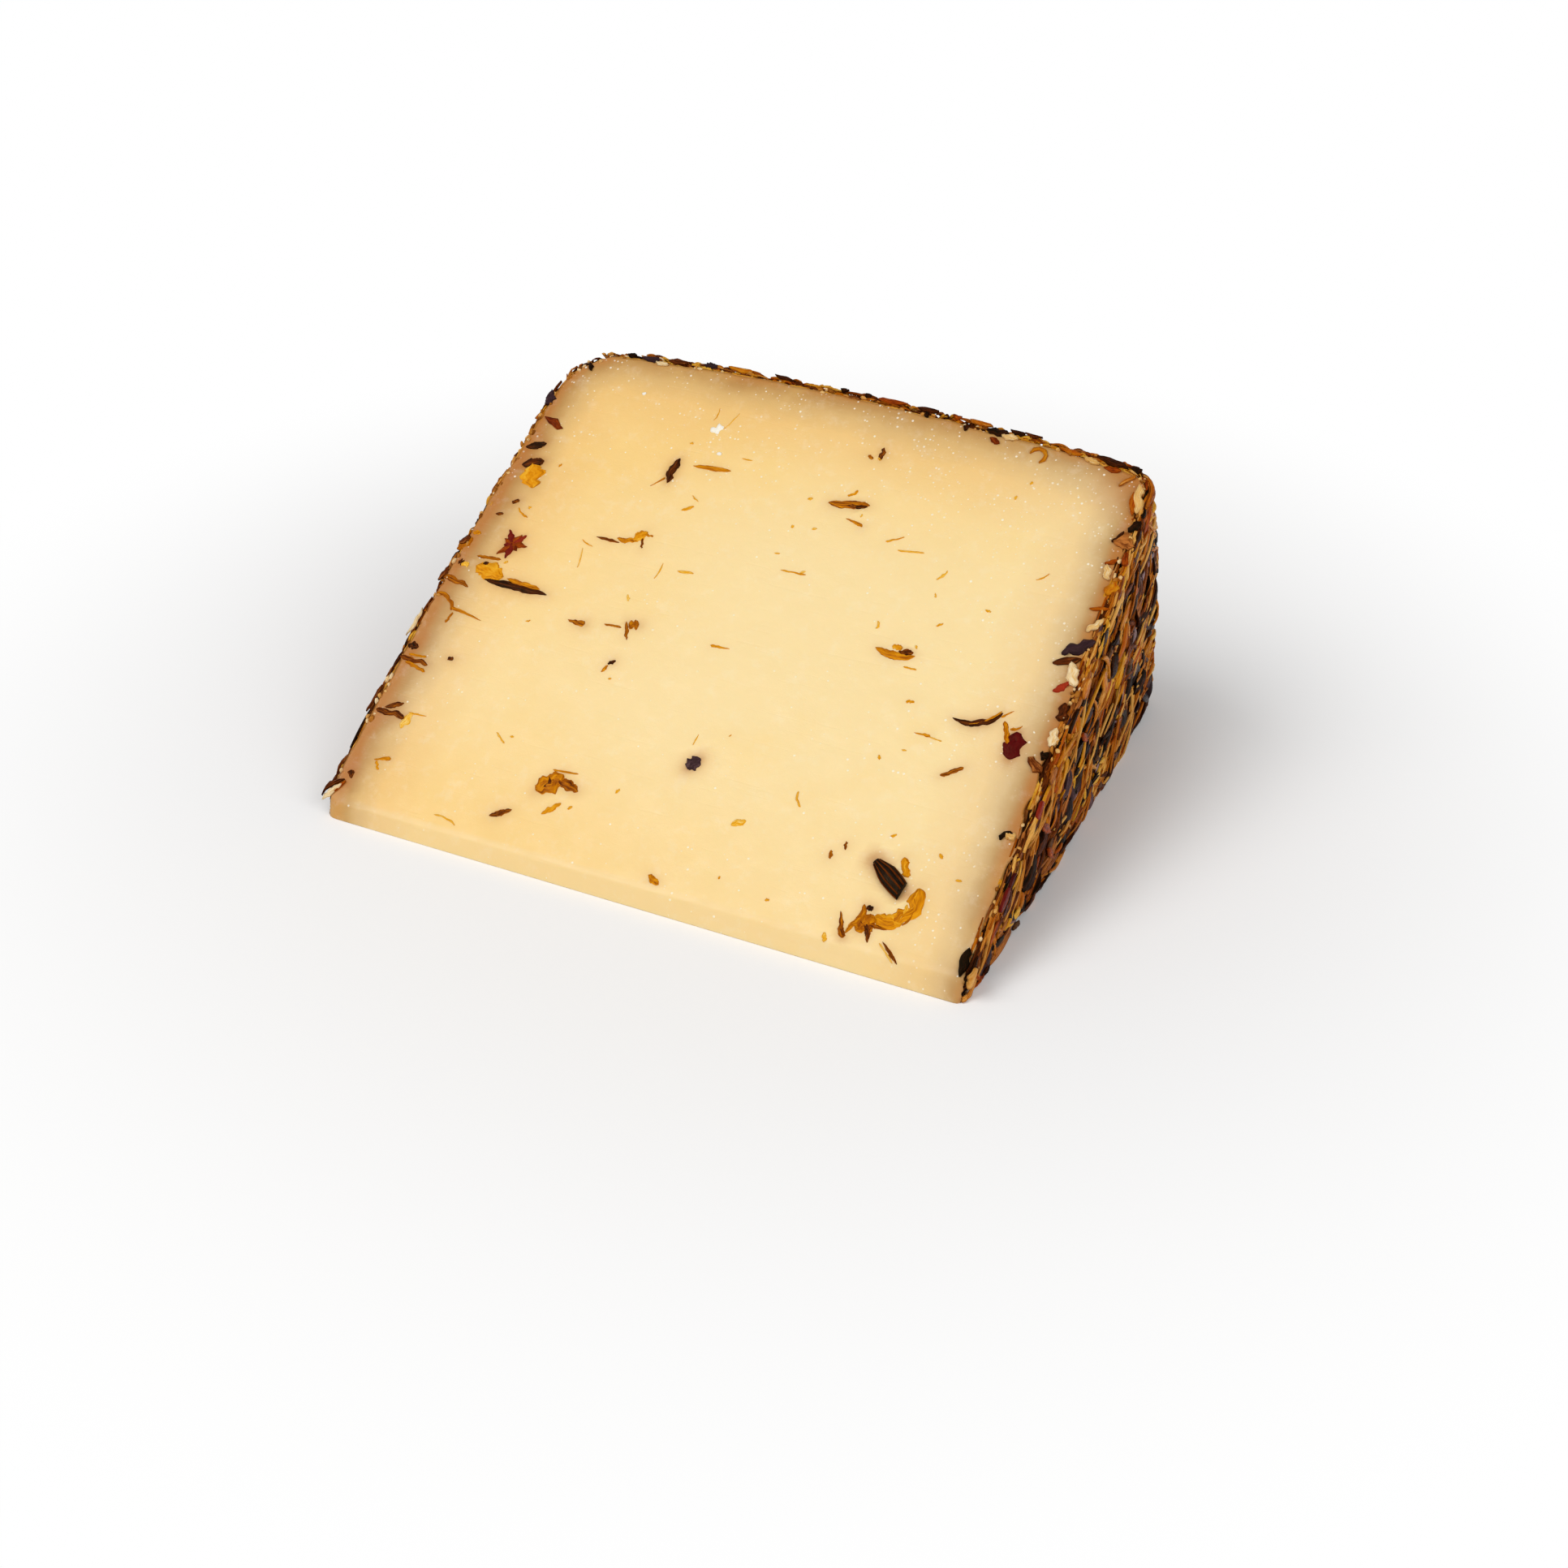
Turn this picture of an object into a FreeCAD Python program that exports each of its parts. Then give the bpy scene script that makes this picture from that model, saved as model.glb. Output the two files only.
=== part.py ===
"""A wedge cut from a small wheel of sheep cheese, its rind coated with dried herbs and petals.

The wheel is a squat barrel: a bulged rim between two slightly domed faces, the left one with a
wide shoulder and the right one with a tight shoulder. Two knife cuts that meet near the wheel's
axis free the wedge, which lies on the lower one. A third, narrow cut blunts the tip and runs a
little askew to the axis.

Frame: +X along the wheel's axis, +Y from the tip to the rim, +Z up, in millimetres. The origin is
the middle of the wedge's box, on the cut face that it lies on.
"""
import FreeCAD, Part
import Sketcher
import math
import os

NODE = "cheese_wedge"

# The driving dimensions: alias, value in mm or degrees, and what it measures.
SIZES = [
    ("wheel_height", 101.0, "across the wheel's two faces, at the axis"),
    ("left_radius", 90.6, "axis to the sharp shoulder of the left face"),
    ("right_radius", 88.6, "axis to the sharp shoulder of the right face"),
    ("rim_bulge", 2.5, "how far the rim swells past a straight line between the shoulders"),
    ("left_draw", 2.5, "how far the left face draws in at its shoulder"),
    ("right_draw", 1.8, "how far the right face draws in at its shoulder"),
    ("left_rise", 1.4, "how far the left face swells past a straight line"),
    ("right_rise", 0.8, "how far the right face swells past a straight line"),
    ("left_shoulder", 10.5, "radius of the left shoulder"),
    ("right_shoulder", 4.0, "radius of the right shoulder"),
    ("wedge_angle", 30.0, "degrees between the two cut faces, a twelfth of the wheel"),
    ("tip_setback_left", 3.3, "axis to the foot of the blunt tip, at the left face"),
    ("tip_setback_right", 4.7, "axis to the foot of the blunt tip, at the right face"),
    ("tip_lean", 20.0, "degrees that the blunt tip leans back from upright"),
    ("left_corner", 2.5, "radius of the tip's upright corner at the left face"),
    ("right_corner", 1.5, "radius of the tip's upright corner at the right face"),
]

# How far a cutting outline reaches past the solid that it cuts, in mm.
CLEAR = 20.0
# How near a point has to lie to a face or edge that is being looked for, in mm.
NEAR = 0.02


def makeSheet(doc):
    """Write the driving dimensions into a sheet, as plain numbers with aliases."""
    sheet = doc.addObject("Spreadsheet::Sheet", "Sizes")
    for row, (alias, value, note) in enumerate(SIZES, start=1):
        sheet.set(f"A{row}", note)
        sheet.set(f"B{row}", str(value))
        sheet.setAlias(f"B{row}", alias)
    doc.recompute()
    return sheet


def originFeature(body, role):
    """Return the plane or axis of the body's own origin that has this role."""
    for feature in body.Origin.OriginFeatures:
        if feature.Role == role:
            return feature
    raise ValueError(f"the origin has no {role}")


def addSketch(body, name, role):
    """Start a sketch on one of the body's origin planes."""
    sketch = body.newObject("Sketcher::SketchObject", name)
    sketch.AttachmentSupport = [(originFeature(body, role), "")]
    sketch.MapMode = "FlatFace"
    return sketch


def constrain(sketch, *rules):
    """Add geometric rules, each given as a kind and the ends that it ties."""
    for rule in rules:
        sketch.addConstraint(Sketcher.Constraint(*rule))


def bind(sketch, name, expression, kind, *where):
    """Add a named dimension and tie it to the sheet's sizes."""
    value = float(sketch.evalExpression(expression))
    if kind == "Angle":
        value = math.radians(value)
    index = sketch.addConstraint(Sketcher.Constraint(kind, *where, value))
    sketch.renameConstraint(index, name)
    sketch.setExpression(f"Constraints.{name}", expression)


def arcRadius(across, along, rise):
    """Write the expression for the radius of an arc that swells by rise over its chord."""
    return f"(({across})^2 + ({along})^2) / (8 * {rise}) + {rise} / 2"


def drawSection(body, sheet):
    """Draw the wheel's half section: axis, right face, bulged rim and left face."""
    sketch = addSketch(body, "WheelSection", "XY_Plane")
    half = sheet.wheel_height / 2
    leftFoot = FreeCAD.Vector(-half, 0, 0)
    rightFoot = FreeCAD.Vector(half, 0, 0)
    leftTop = FreeCAD.Vector(-half + sheet.left_draw, sheet.left_radius, 0)
    rightTop = FreeCAD.Vector(half - sheet.right_draw, sheet.right_radius, 0)
    rimCrown = (leftTop + rightTop) * 0.5 + FreeCAD.Vector(0, sheet.rim_bulge, 0)
    leftCrown = (leftTop + leftFoot) * 0.5 - FreeCAD.Vector(sheet.left_rise, 0, 0)
    rightCrown = (rightTop + rightFoot) * 0.5 + FreeCAD.Vector(sheet.right_rise, 0, 0)

    axis = sketch.addGeometry(Part.LineSegment(leftFoot, rightFoot), False)
    right = sketch.addGeometry(Part.Arc(rightFoot, rightCrown, rightTop), False)
    rim = sketch.addGeometry(Part.Arc(rightTop, rimCrown, leftTop), False)
    left = sketch.addGeometry(Part.Arc(leftTop, leftCrown, leftFoot), False)
    constrain(
        sketch,
        ("Coincident", axis, 2, right, 1),
        ("Coincident", right, 2, rim, 1),
        ("Coincident", rim, 2, left, 1),
        ("Coincident", left, 2, axis, 1),
        ("Symmetric", axis, 1, axis, 2, -1, 1),
        ("Horizontal", axis),
    )
    bind(sketch, "height", "Sizes.wheel_height", "DistanceX", axis, 1, axis, 2)
    bind(sketch, "leftRadius", "Sizes.left_radius", "DistanceY", axis, 1, left, 1)
    bind(sketch, "leftDraw", "Sizes.left_draw", "DistanceX", axis, 1, left, 1)
    bind(sketch, "rightRadius", "Sizes.right_radius", "DistanceY", axis, 2, rim, 1)
    bind(sketch, "rightDraw", "Sizes.right_draw", "DistanceX", rim, 1, axis, 2)
    rimAcross = "Sizes.wheel_height - Sizes.left_draw - Sizes.right_draw"
    rimAlong = "Sizes.left_radius - Sizes.right_radius"
    rimArc = arcRadius(rimAcross, rimAlong, "Sizes.rim_bulge")
    leftArc = arcRadius("Sizes.left_radius", "Sizes.left_draw", "Sizes.left_rise")
    rightArc = arcRadius("Sizes.right_radius", "Sizes.right_draw", "Sizes.right_rise")
    bind(sketch, "rimArc", rimArc, "Radius", rim)
    bind(sketch, "leftArc", leftArc, "Radius", left)
    bind(sketch, "rightArc", rightArc, "Radius", right)
    return sketch


def turnSection(body, section):
    """Turn the section about the wheel's axis, upwards from the lower cut face."""
    turned = body.newObject("PartDesign::Revolution", "WheelSlice")
    turned.Profile = section
    turned.ReferenceAxis = (originFeature(body, "X_Axis"), [""])
    turned.setExpression("Angle", "Sizes.wedge_angle")
    body.Document.recompute()
    if turned.Shape.BoundBox.ZMin < -NEAR:
        turned.Reversed = True
        body.Document.recompute()
    return turned


def drawTipCut(body, sheet):
    """Draw, as seen along the axis, what the third knife cut takes off the tip."""
    sketch = addSketch(body, "TipOutline", "YZ_Plane")
    shift = CLEAR * math.tan(math.radians(sheet.tip_lean))
    low = FreeCAD.Vector(-shift, -CLEAR, 0)
    high = FreeCAD.Vector(shift, CLEAR, 0)
    frontHigh = FreeCAD.Vector(-CLEAR, CLEAR, 0)
    frontLow = FreeCAD.Vector(-CLEAR, -CLEAR, 0)

    knife = sketch.addGeometry(Part.LineSegment(low, high), False)
    top = sketch.addGeometry(Part.LineSegment(high, frontHigh), False)
    front = sketch.addGeometry(Part.LineSegment(frontHigh, frontLow), False)
    bottom = sketch.addGeometry(Part.LineSegment(frontLow, low), False)
    constrain(
        sketch,
        ("Coincident", knife, 2, top, 1),
        ("Coincident", top, 2, front, 1),
        ("Coincident", front, 2, bottom, 1),
        ("Coincident", bottom, 2, knife, 1),
        ("Horizontal", top),
        ("Horizontal", bottom),
        ("Vertical", front),
        ("PointOnObject", -1, 1, knife),
        ("DistanceY", knife, 1, -1, 1, CLEAR),
        ("DistanceY", -1, 1, knife, 2, CLEAR),
        ("DistanceX", front, 1, -1, 1, CLEAR),
    )
    bind(sketch, "lean", "90 - Sizes.tip_lean", "Angle", knife)

    # The cut's foot lies midway between the two setbacks and turns to meet them both.
    upright = FreeCAD.Rotation(FreeCAD.Vector(0, 1, 0), 1)
    sketch.AttachmentOffset = FreeCAD.Placement(FreeCAD.Vector(), upright)
    foot = "(Sizes.tip_setback_left + Sizes.tip_setback_right) / 2"
    skew = "atan((Sizes.tip_setback_right - Sizes.tip_setback_left) / Sizes.wheel_height)"
    sketch.setExpression("AttachmentOffset.Base.x", foot)
    sketch.setExpression("AttachmentOffset.Rotation.Angle", skew)
    return sketch


def cutTip(body, outline):
    """Cut the tip off along the whole axis, both ways from the outline."""
    cut = body.newObject("PartDesign::Pocket", "TipCut")
    cut.Profile = outline
    cut.SideType = "Symmetric"
    cut.Type = "ThroughAll"
    body.Document.recompute()
    return cut


def samples(edge):
    """Return the edge's two ends and its middle."""
    first, last = edge.FirstParameter, edge.LastParameter
    return [edge.valueAt(first), edge.valueAt((first + last) / 2), edge.valueAt(last)]


def edgesWhere(feature, holds):
    """Name the feature's edges on which the test holds at both ends and in the middle."""
    names = []
    for number, edge in enumerate(feature.Shape.Edges, start=1):
        if all(holds(point) for point in samples(edge)):
            names.append(f"Edge{number}")
    if not names:
        raise RuntimeError(f"{feature.Name} has no edge where one is expected")
    return names


def roundEdges(body, name, base, edges, radius):
    """Round the named edges of the feature with a radius from the sheet."""
    rounded = body.newObject("PartDesign::Fillet", name)
    rounded.Base = (base, edges)
    rounded.setExpression("Radius", f"Sizes.{radius}")
    body.Document.recompute()
    return rounded


def roundShoulders(body, sheet, base):
    """Round the wheel's two shoulders, each with its own radius."""
    half = sheet.wheel_height / 2
    leftX = -half + sheet.left_draw
    rightX = half - sheet.right_draw

    def shoulderAt(x, radius):
        return lambda point: abs(point.x - x) < NEAR and abs(math.hypot(point.y, point.z) - radius) < NEAR

    leftEdges = edgesWhere(base, shoulderAt(leftX, sheet.left_radius))
    left = roundEdges(body, "LeftShoulder", base, leftEdges, "left_shoulder")
    rightEdges = edgesWhere(left, shoulderAt(rightX, sheet.right_radius))
    return roundEdges(body, "RightShoulder", left, rightEdges, "right_shoulder")


def roundTip(body, sheet, base, outline):
    """Round the tip's two upright corners, where the rind's ends meet the knife's cut."""
    toKnife = outline.Placement.inverse()
    lean = math.radians(sheet.tip_lean)
    half = sheet.wheel_height / 2

    def onKnife(point):
        local = toKnife.multVec(point)
        return abs(local.x * math.cos(lean) - local.y * math.sin(lean)) < NEAR

    def besideLeft(point):
        return onKnife(point) and point.x < -half + sheet.left_draw

    def besideRight(point):
        return onKnife(point) and point.x > half - sheet.right_draw

    left = roundEdges(body, "LeftCorner", base, edgesWhere(base, besideLeft), "left_corner")
    return roundEdges(body, "RightCorner", left, edgesWhere(left, besideRight), "right_corner")


def tightBox(shape):
    """Measure the shape's box on fine facets, because the kernel's own box is loose."""
    box = FreeCAD.BoundBox()
    for point in shape.tessellate(NEAR)[0]:
        box.add(point)
    return box


def buildWedge(doc, sheet):
    """Build the wedge as one body, with its origin under the middle of its box."""
    body = doc.addObject("PartDesign::Body", "CheeseWedge")
    body.Label = NODE
    section = drawSection(body, sheet)
    wheelSlice = turnSection(body, section)
    shouldered = roundShoulders(body, sheet, wheelSlice)
    outline = drawTipCut(body, sheet)
    tipCut = cutTip(body, outline)
    if tipCut.Shape.Volume > shouldered.Shape.Volume - 1:
        raise RuntimeError("the tip's cut took nothing away")
    body.Tip = roundTip(body, sheet, tipCut, outline)
    doc.recompute()
    box = tightBox(body.Shape)
    origin = FreeCAD.Vector(box.Center.x, box.Center.y, 0)
    body.Placement = FreeCAD.Placement(-origin, FreeCAD.Rotation())
    doc.recompute()
    return body


def checkDocument(doc, parts):
    """Stop if any object failed to recompute, or a shape is missing or broken."""
    for item in doc.Objects:
        if "Invalid" in item.State or "Error" in item.State:
            raise RuntimeError(f"{item.Name} did not recompute: {item.State}")
    for part in parts:
        if part.Shape.isNull() or not part.Shape.isValid():
            raise RuntimeError(f"{part.Label} has no sound shape")
        if len(part.Shape.Solids) != 1:
            raise RuntimeError(f"{part.Label} is not one solid")


def main():
    """Build the document and write each sub-part to its own file."""
    doc = FreeCAD.newDocument("CheeseWedge")
    sheet = makeSheet(doc)
    parts = [buildWedge(doc, sheet)]
    checkDocument(doc, parts)
    os.makedirs("parts", exist_ok=True)
    for part in parts:
        part.Shape.exportStep(f"parts/{part.Label}.step")
        box = tightBox(part.Shape)
        print(f"{part.Label}: {box.XLength:.2f} x {box.YLength:.2f} x {box.ZLength:.2f} mm, "
              f"{part.Shape.Volume / 1000:.1f} cm3, x {box.XMin:.2f}..{box.XMax:.2f}, "
              f"y {box.YMin:.2f}..{box.YMax:.2f}, z {box.ZMin:.2f}..{box.ZMax:.2f}")


main()
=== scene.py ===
import math
import random

import bmesh
import bpy
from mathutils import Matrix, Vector, noise
from mathutils.geometry import interpolate_bezier
from mathutils.kdtree import KDTree


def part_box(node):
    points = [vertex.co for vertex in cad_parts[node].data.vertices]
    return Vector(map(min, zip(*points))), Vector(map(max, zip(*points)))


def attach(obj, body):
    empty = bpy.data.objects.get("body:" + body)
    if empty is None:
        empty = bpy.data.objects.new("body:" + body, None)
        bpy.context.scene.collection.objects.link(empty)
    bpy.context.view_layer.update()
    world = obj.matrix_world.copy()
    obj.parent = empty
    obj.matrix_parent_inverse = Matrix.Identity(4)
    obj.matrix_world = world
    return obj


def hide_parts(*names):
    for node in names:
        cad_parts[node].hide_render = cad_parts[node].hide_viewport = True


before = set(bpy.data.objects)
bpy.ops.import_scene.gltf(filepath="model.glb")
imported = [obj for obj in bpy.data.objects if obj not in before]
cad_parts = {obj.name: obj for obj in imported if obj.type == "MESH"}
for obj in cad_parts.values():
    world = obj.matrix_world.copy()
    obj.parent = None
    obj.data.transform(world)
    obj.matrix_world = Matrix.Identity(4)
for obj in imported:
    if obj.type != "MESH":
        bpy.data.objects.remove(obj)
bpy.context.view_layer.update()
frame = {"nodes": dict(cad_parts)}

mm = 0.001
cadLow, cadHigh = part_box("cheese_wedge")
print("frame loaded:", ", ".join(frame["nodes"]))

# The wheel that the wedge was cut from, in mm: x across the wheel's height, r out from its axis
wheel = {
    "slice": 30.0,  # degrees between the two cuts
    "leftFoot": (-50.5, 0.0),
    "leftTop": (-48.0, 90.6),
    "rightTop": (48.7, 88.6),
    "rightFoot": (50.5, 0.0),
    "rises": (1.4, 2.5, 0.8),  # how far the left face, the rim and the right face bow out
    "shoulders": (10.5, 4.0),
    "crown": 92.2,  # the rim's largest r
    "reach": 50.65,  # the right face's largest x
    "tipFoot": (3.3, 4.7),  # how far the cut-off tip stands from the axis, left and right
    "tipLean": 20.0,
    "tipCorners": (2.5, 1.5),
    "tipReach": 14.0,  # r up to which the rind follows the lean
}
wheel["axisY"] = cadHigh[1] / mm - wheel["crown"]
wheel["midX"] = cadHigh[0] / mm - wheel["reach"]
sliceAngle = math.radians(wheel["slice"])


def srgb(red, green, blue):
    # a colour as it looks, 0 to 255, to the linear values that a node takes
    def linear(value):
        value /= 255
        return value / 12.92 if value <= 0.04045 else ((value + 0.055) / 1.055) ** 2.4
    return (linear(red), linear(green), linear(blue), 1.0)


def blendStep(edge0, edge1, value):
    t = min(max((value - edge0) / (edge1 - edge0), 0.0), 1.0)
    return t * t * (3 - 2 * t)


def wheelPoint(x, r, phi, lift=0.0):
    # metres in the part's frame; lift goes up from a cut face that stands at phi
    y = wheel["axisY"] + r * math.cos(phi) - lift * math.sin(phi)
    z = r * math.sin(phi) + lift * math.cos(phi)
    return Vector((wheel["midX"] + x, y, z)) * mm


def arcPoint(start, end, rise, t):
    along = end - start
    side = Vector((-along.y, along.x)).normalized()
    return start + along * t + side * (4 * rise * t * (1 - t))


def tipRadius(x, phi):
    # the r at which the leaning tip facet stands
    left, right = wheel["tipFoot"]
    low, high = wheel["leftFoot"][0], wheel["rightFoot"][0]
    foot = left + (right - left) * (x - low) / (high - low)
    return foot / (math.cos(phi) - math.sin(phi) * math.tan(math.radians(wheel["tipLean"])))


def followTip(spot, phi):
    # close to the tip the rind moves back with the leaning facet
    start, end = tipRadius(spot.x, 0.0), wheel["tipReach"]
    if spot.y >= end:
        return spot.y
    return end - (end - spot.y) * (end - tipRadius(spot.x, phi)) / (end - start)


def evenPoints(points, count):
    # the same line with evenly spaced points
    reach = [0.0]
    for a, b in zip(points, points[1:]):
        reach.append(reach[-1] + (b - a).length)
    result, i = [], 0
    for k in range(count):
        want = reach[-1] * k / (count - 1)
        while i < len(points) - 2 and reach[i + 1] < want:
            i += 1
        span = max(reach[i + 1] - reach[i], 1e-9)
        result.append(points[i].lerp(points[i + 1], min((want - reach[i]) / span, 1.0)))
    return result


cornerPoints = 17  # along each rounded corner of a section


def sectionSides(phi):
    # the left face, the rim, the right face and the tip as four lines round the section at phi, each from
    # the middle of one rounded corner to the middle of the next
    leftFoot, leftTop = Vector(wheel["leftFoot"]), Vector(wheel["leftTop"])
    rightTop, rightFoot = Vector(wheel["rightTop"]), Vector(wheel["rightFoot"])
    leftRise, rimRise, rightRise = wheel["rises"]
    leftStart = tipRadius(leftFoot.x, phi) / leftTop.y
    rightEnd = tipRadius(rightFoot.x, phi) / rightTop.y
    tipLeft = arcPoint(leftFoot, leftTop, leftRise, leftStart)
    tipRight = arcPoint(rightTop, rightFoot, rightRise, 1 - rightEnd)
    sides = [
        lambda t: arcPoint(leftFoot, leftTop, leftRise, leftStart + (1 - leftStart) * t),
        lambda t: arcPoint(leftTop, rightTop, rimRise, t),
        lambda t: arcPoint(rightTop, rightFoot, rightRise, (1 - rightEnd) * t),
        lambda t: tipRight.lerp(tipLeft, t),
    ]
    radii = [wheel["shoulders"][0], wheel["shoulders"][1], wheel["tipCorners"][1], wheel["tipCorners"][0]]
    spans = [(side(1.0) - side(0.0)).length for side in sides]
    trims, bends = [[0.0, 1.0] for side in sides], []
    for i in range(4):
        j = (i + 1) % 4
        leaving = (sides[i](1.0) - sides[i](0.98)).normalized()
        entering = (sides[j](0.02) - sides[j](0.0)).normalized()
        turn = leaving.angle(entering)
        back = radii[i] * math.tan(turn / 2)
        trims[i][1] = 1 - back / spans[i]
        trims[j][0] = back / spans[j]
        start, end = sides[i](trims[i][1]), sides[j](trims[j][0])
        pull = 4 / 3 * math.tan(turn / 4) * radii[i]
        handles = start + leaving * pull, end - entering * pull
        bends.append(interpolate_bezier(start, *handles, end, cornerPoints))
    lines = []
    half = cornerPoints // 2
    for i in range(4):
        first, last = trims[i]
        steps = max(int(spans[i]), 2)
        middle = [sides[i](first + (last - first) * k / steps) for k in range(1, steps)]
        lines.append(list(bends[i - 1][half:]) + middle + list(bends[i][:half + 1]))
    return lines


def inwardNormals(line):
    # the section is walked clockwise, so the inside is on the right hand
    result = []
    for i in range(len(line)):
        along = line[min(i + 1, len(line) - 1)] - line[max(i - 1, 0)]
        result.append(Vector((along.y, -along.x)).normalized())
    return result


# The rind's outer line from the left foot over the rim to the right foot, without the tip
rindLines = sectionSides(0.0)
rindPoints = rindLines[0] + rindLines[1][1:] + rindLines[2][1:]
rindCount = 560  # points along it
cornerMarks = []
walked = 0.0
for line in rindLines[:3]:
    walked += sum((b - a).length for a, b in zip(line, line[1:]))
    cornerMarks.append(walked)
leftMark, rightMark, rindLength = cornerMarks
rindEven = evenPoints(rindPoints, rindCount)
rindInward = inwardNormals(rindEven)
rindTree = KDTree(rindCount)
for i, point in enumerate(rindEven):
    rindTree.insert((point.x, point.y, 0.0), i)
rindTree.balance()


def rindAt(s):
    # the point and the inward normal at a length s along the rind
    place = min(max(s / rindLength, 0.0), 1.0) * (rindCount - 1)
    i = min(int(place), rindCount - 2)
    t = place - i
    return rindEven[i].lerp(rindEven[i + 1], t), rindInward[i].lerp(rindInward[i + 1], t).normalized()


def rindMix(s, left, rim, right, soft=6.0):
    # a value that changes over the shoulders from the left face to the rim to the right face
    value = left + (rim - left) * blendStep(leftMark - soft, leftMark + soft, s)
    return value + (right - rim) * blendStep(rightMark - soft, rightMark + soft, s)


def newObject(name, bm, materials):
    mesh = bpy.data.meshes.new(name)
    bm.to_mesh(mesh)
    bm.free()
    for polygon in mesh.polygons:
        polygon.use_smooth = True
    for material in materials:
        mesh.materials.append(material)
    piece = bpy.data.objects.new(name, mesh)
    bpy.context.collection.objects.link(piece)
    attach(piece, "root")
    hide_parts("cheese_wedge")
    return piece


def gridBlock(across, out, around):
    # a closed block of quads, -0.5 to 0.5, cut into as many strips as asked along x, y and z
    bm = bmesh.new()
    bmesh.ops.create_cube(bm, size=1.0)
    for axis, count in enumerate((across, out, around)):
        edges = [e for e in bm.edges if abs(e.verts[0].co[axis] - e.verts[1].co[axis]) > 0.9]
        bmesh.ops.subdivide_edges(bm, edges=edges, cuts=count - 1, use_grid_fill=True)
    return bm


# Materials
def setInputs(tree, node, inputs):
    # links each input that comes from another node and sets the rest
    for name, value in inputs.items():
        if isinstance(value, bpy.types.NodeSocket):
            tree.links.new(value, node.inputs[name])
        else:
            node.inputs[name].default_value = value


def addNode(tree, kind, inputs=None, **settings):
    node = tree.nodes.new("ShaderNode" + kind)
    for name, setting in settings.items():
        setattr(node, name, setting)
    setInputs(tree, node, inputs or {})
    return node


def nodeMaterial(name):
    material = bpy.data.materials.new(name)
    material.use_nodes = True
    tree = material.node_tree
    tree.nodes.clear()
    shader = addNode(tree, "BsdfPrincipled")
    addNode(tree, "OutputMaterial", {"Surface": shader.outputs["BSDF"]})
    return material, tree, shader


def objectPlace(tree):
    return addNode(tree, "TexCoord").outputs["Object"]


def attributeNode(tree, name):
    return addNode(tree, "Attribute", attribute_name=name).outputs["Fac"]


def mathNode(tree, operation, first, second, third=None, clamp=False):
    inputs = {0: first, 1: second}
    if third is not None:
        inputs[2] = third
    return addNode(tree, "Math", inputs, operation=operation, use_clamp=clamp).outputs[0]


def rangeNode(tree, value, low, high, toLow=0.0, toHigh=1.0):
    inputs = {"Value": value, "From Min": low, "From Max": high, "To Min": toLow, "To Max": toHigh}
    return addNode(tree, "MapRange", inputs, interpolation_type="SMOOTHSTEP").outputs["Result"]


def noiseNode(tree, coordinates, scale, detail=3.0, roughness=0.5, distortion=0.0):
    inputs = {"Vector": coordinates, "Scale": scale, "Detail": detail, "Roughness": roughness}
    return addNode(tree, "TexNoise", {**inputs, "Distortion": distortion}).outputs["Fac"]


def rampNode(tree, value, stops):
    node = addNode(tree, "ValToRGB", {"Fac": value})
    elements = node.color_ramp.elements
    while len(elements) < len(stops):
        elements.new(0.5)
    for element, (position, colour) in zip(elements, stops):
        element.position = position
        element.color = srgb(*colour)
    return node.outputs["Color"]


def mixNode(tree, factor, first, second, blend="MIX"):
    # second is a colour as it looks
    inputs = {0: factor, 6: first, 7: srgb(*second)}
    return addNode(tree, "Mix", inputs, data_type="RGBA", blend_type=blend).outputs[2]


def bumpNode(tree, height, strength, distance, **normal):
    inputs = {"Height": height, "Strength": strength, "Distance": distance, **normal}
    return addNode(tree, "Bump", inputs).outputs["Normal"]


pasteLook = {
    # mm in from the rind, and the colour there
    "depths": (
        (1.5, (188, 128, 60)),
        (3.0, (194, 154, 97)),
        (5.0, (223, 191, 137)),
        (8.0, (244, 211, 150)),
        (15.0, (252, 223, 162)),
    ),
    "wander": ((260.0, 3.0, 1.8), (70.0, 2.0, 2.4)),  # noise scale and detail, and the mm it moves them by
    "warm": (253, 239, 207),  # multiplied in towards the top and the left
    "blotch": (252, 212, 130),
    "speck": (255, 248, 228),
    # which colour, noise scale, detail and roughness, where it sets in and is full, and its strength
    "mottles": (
        ("blotch", 55.0, 4.0, 0.6, 0.52, 0.72, 0.3),
        ("speck", 420.0, 5.0, 0.7, 0.5, 0.72, 0.12),
    ),
    # brown for the paste's stains round the herbs and at its edges, and for the painted shade on the tip
    # facet
    "stainAndShade": (178, 104, 22),
    "speckCells": 1450.0,
    "speckSize": (0.25, 0.08),  # how much it varies, and the least
    "speckStrength": (0.6, 0.2),
    "glow": 0.18,  # subsurface weight
    "glowReach": 0.0012,
    "scratches": (90.0, 1400.0, 1400.0),
    "scratchTurn": 28,
}


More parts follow.
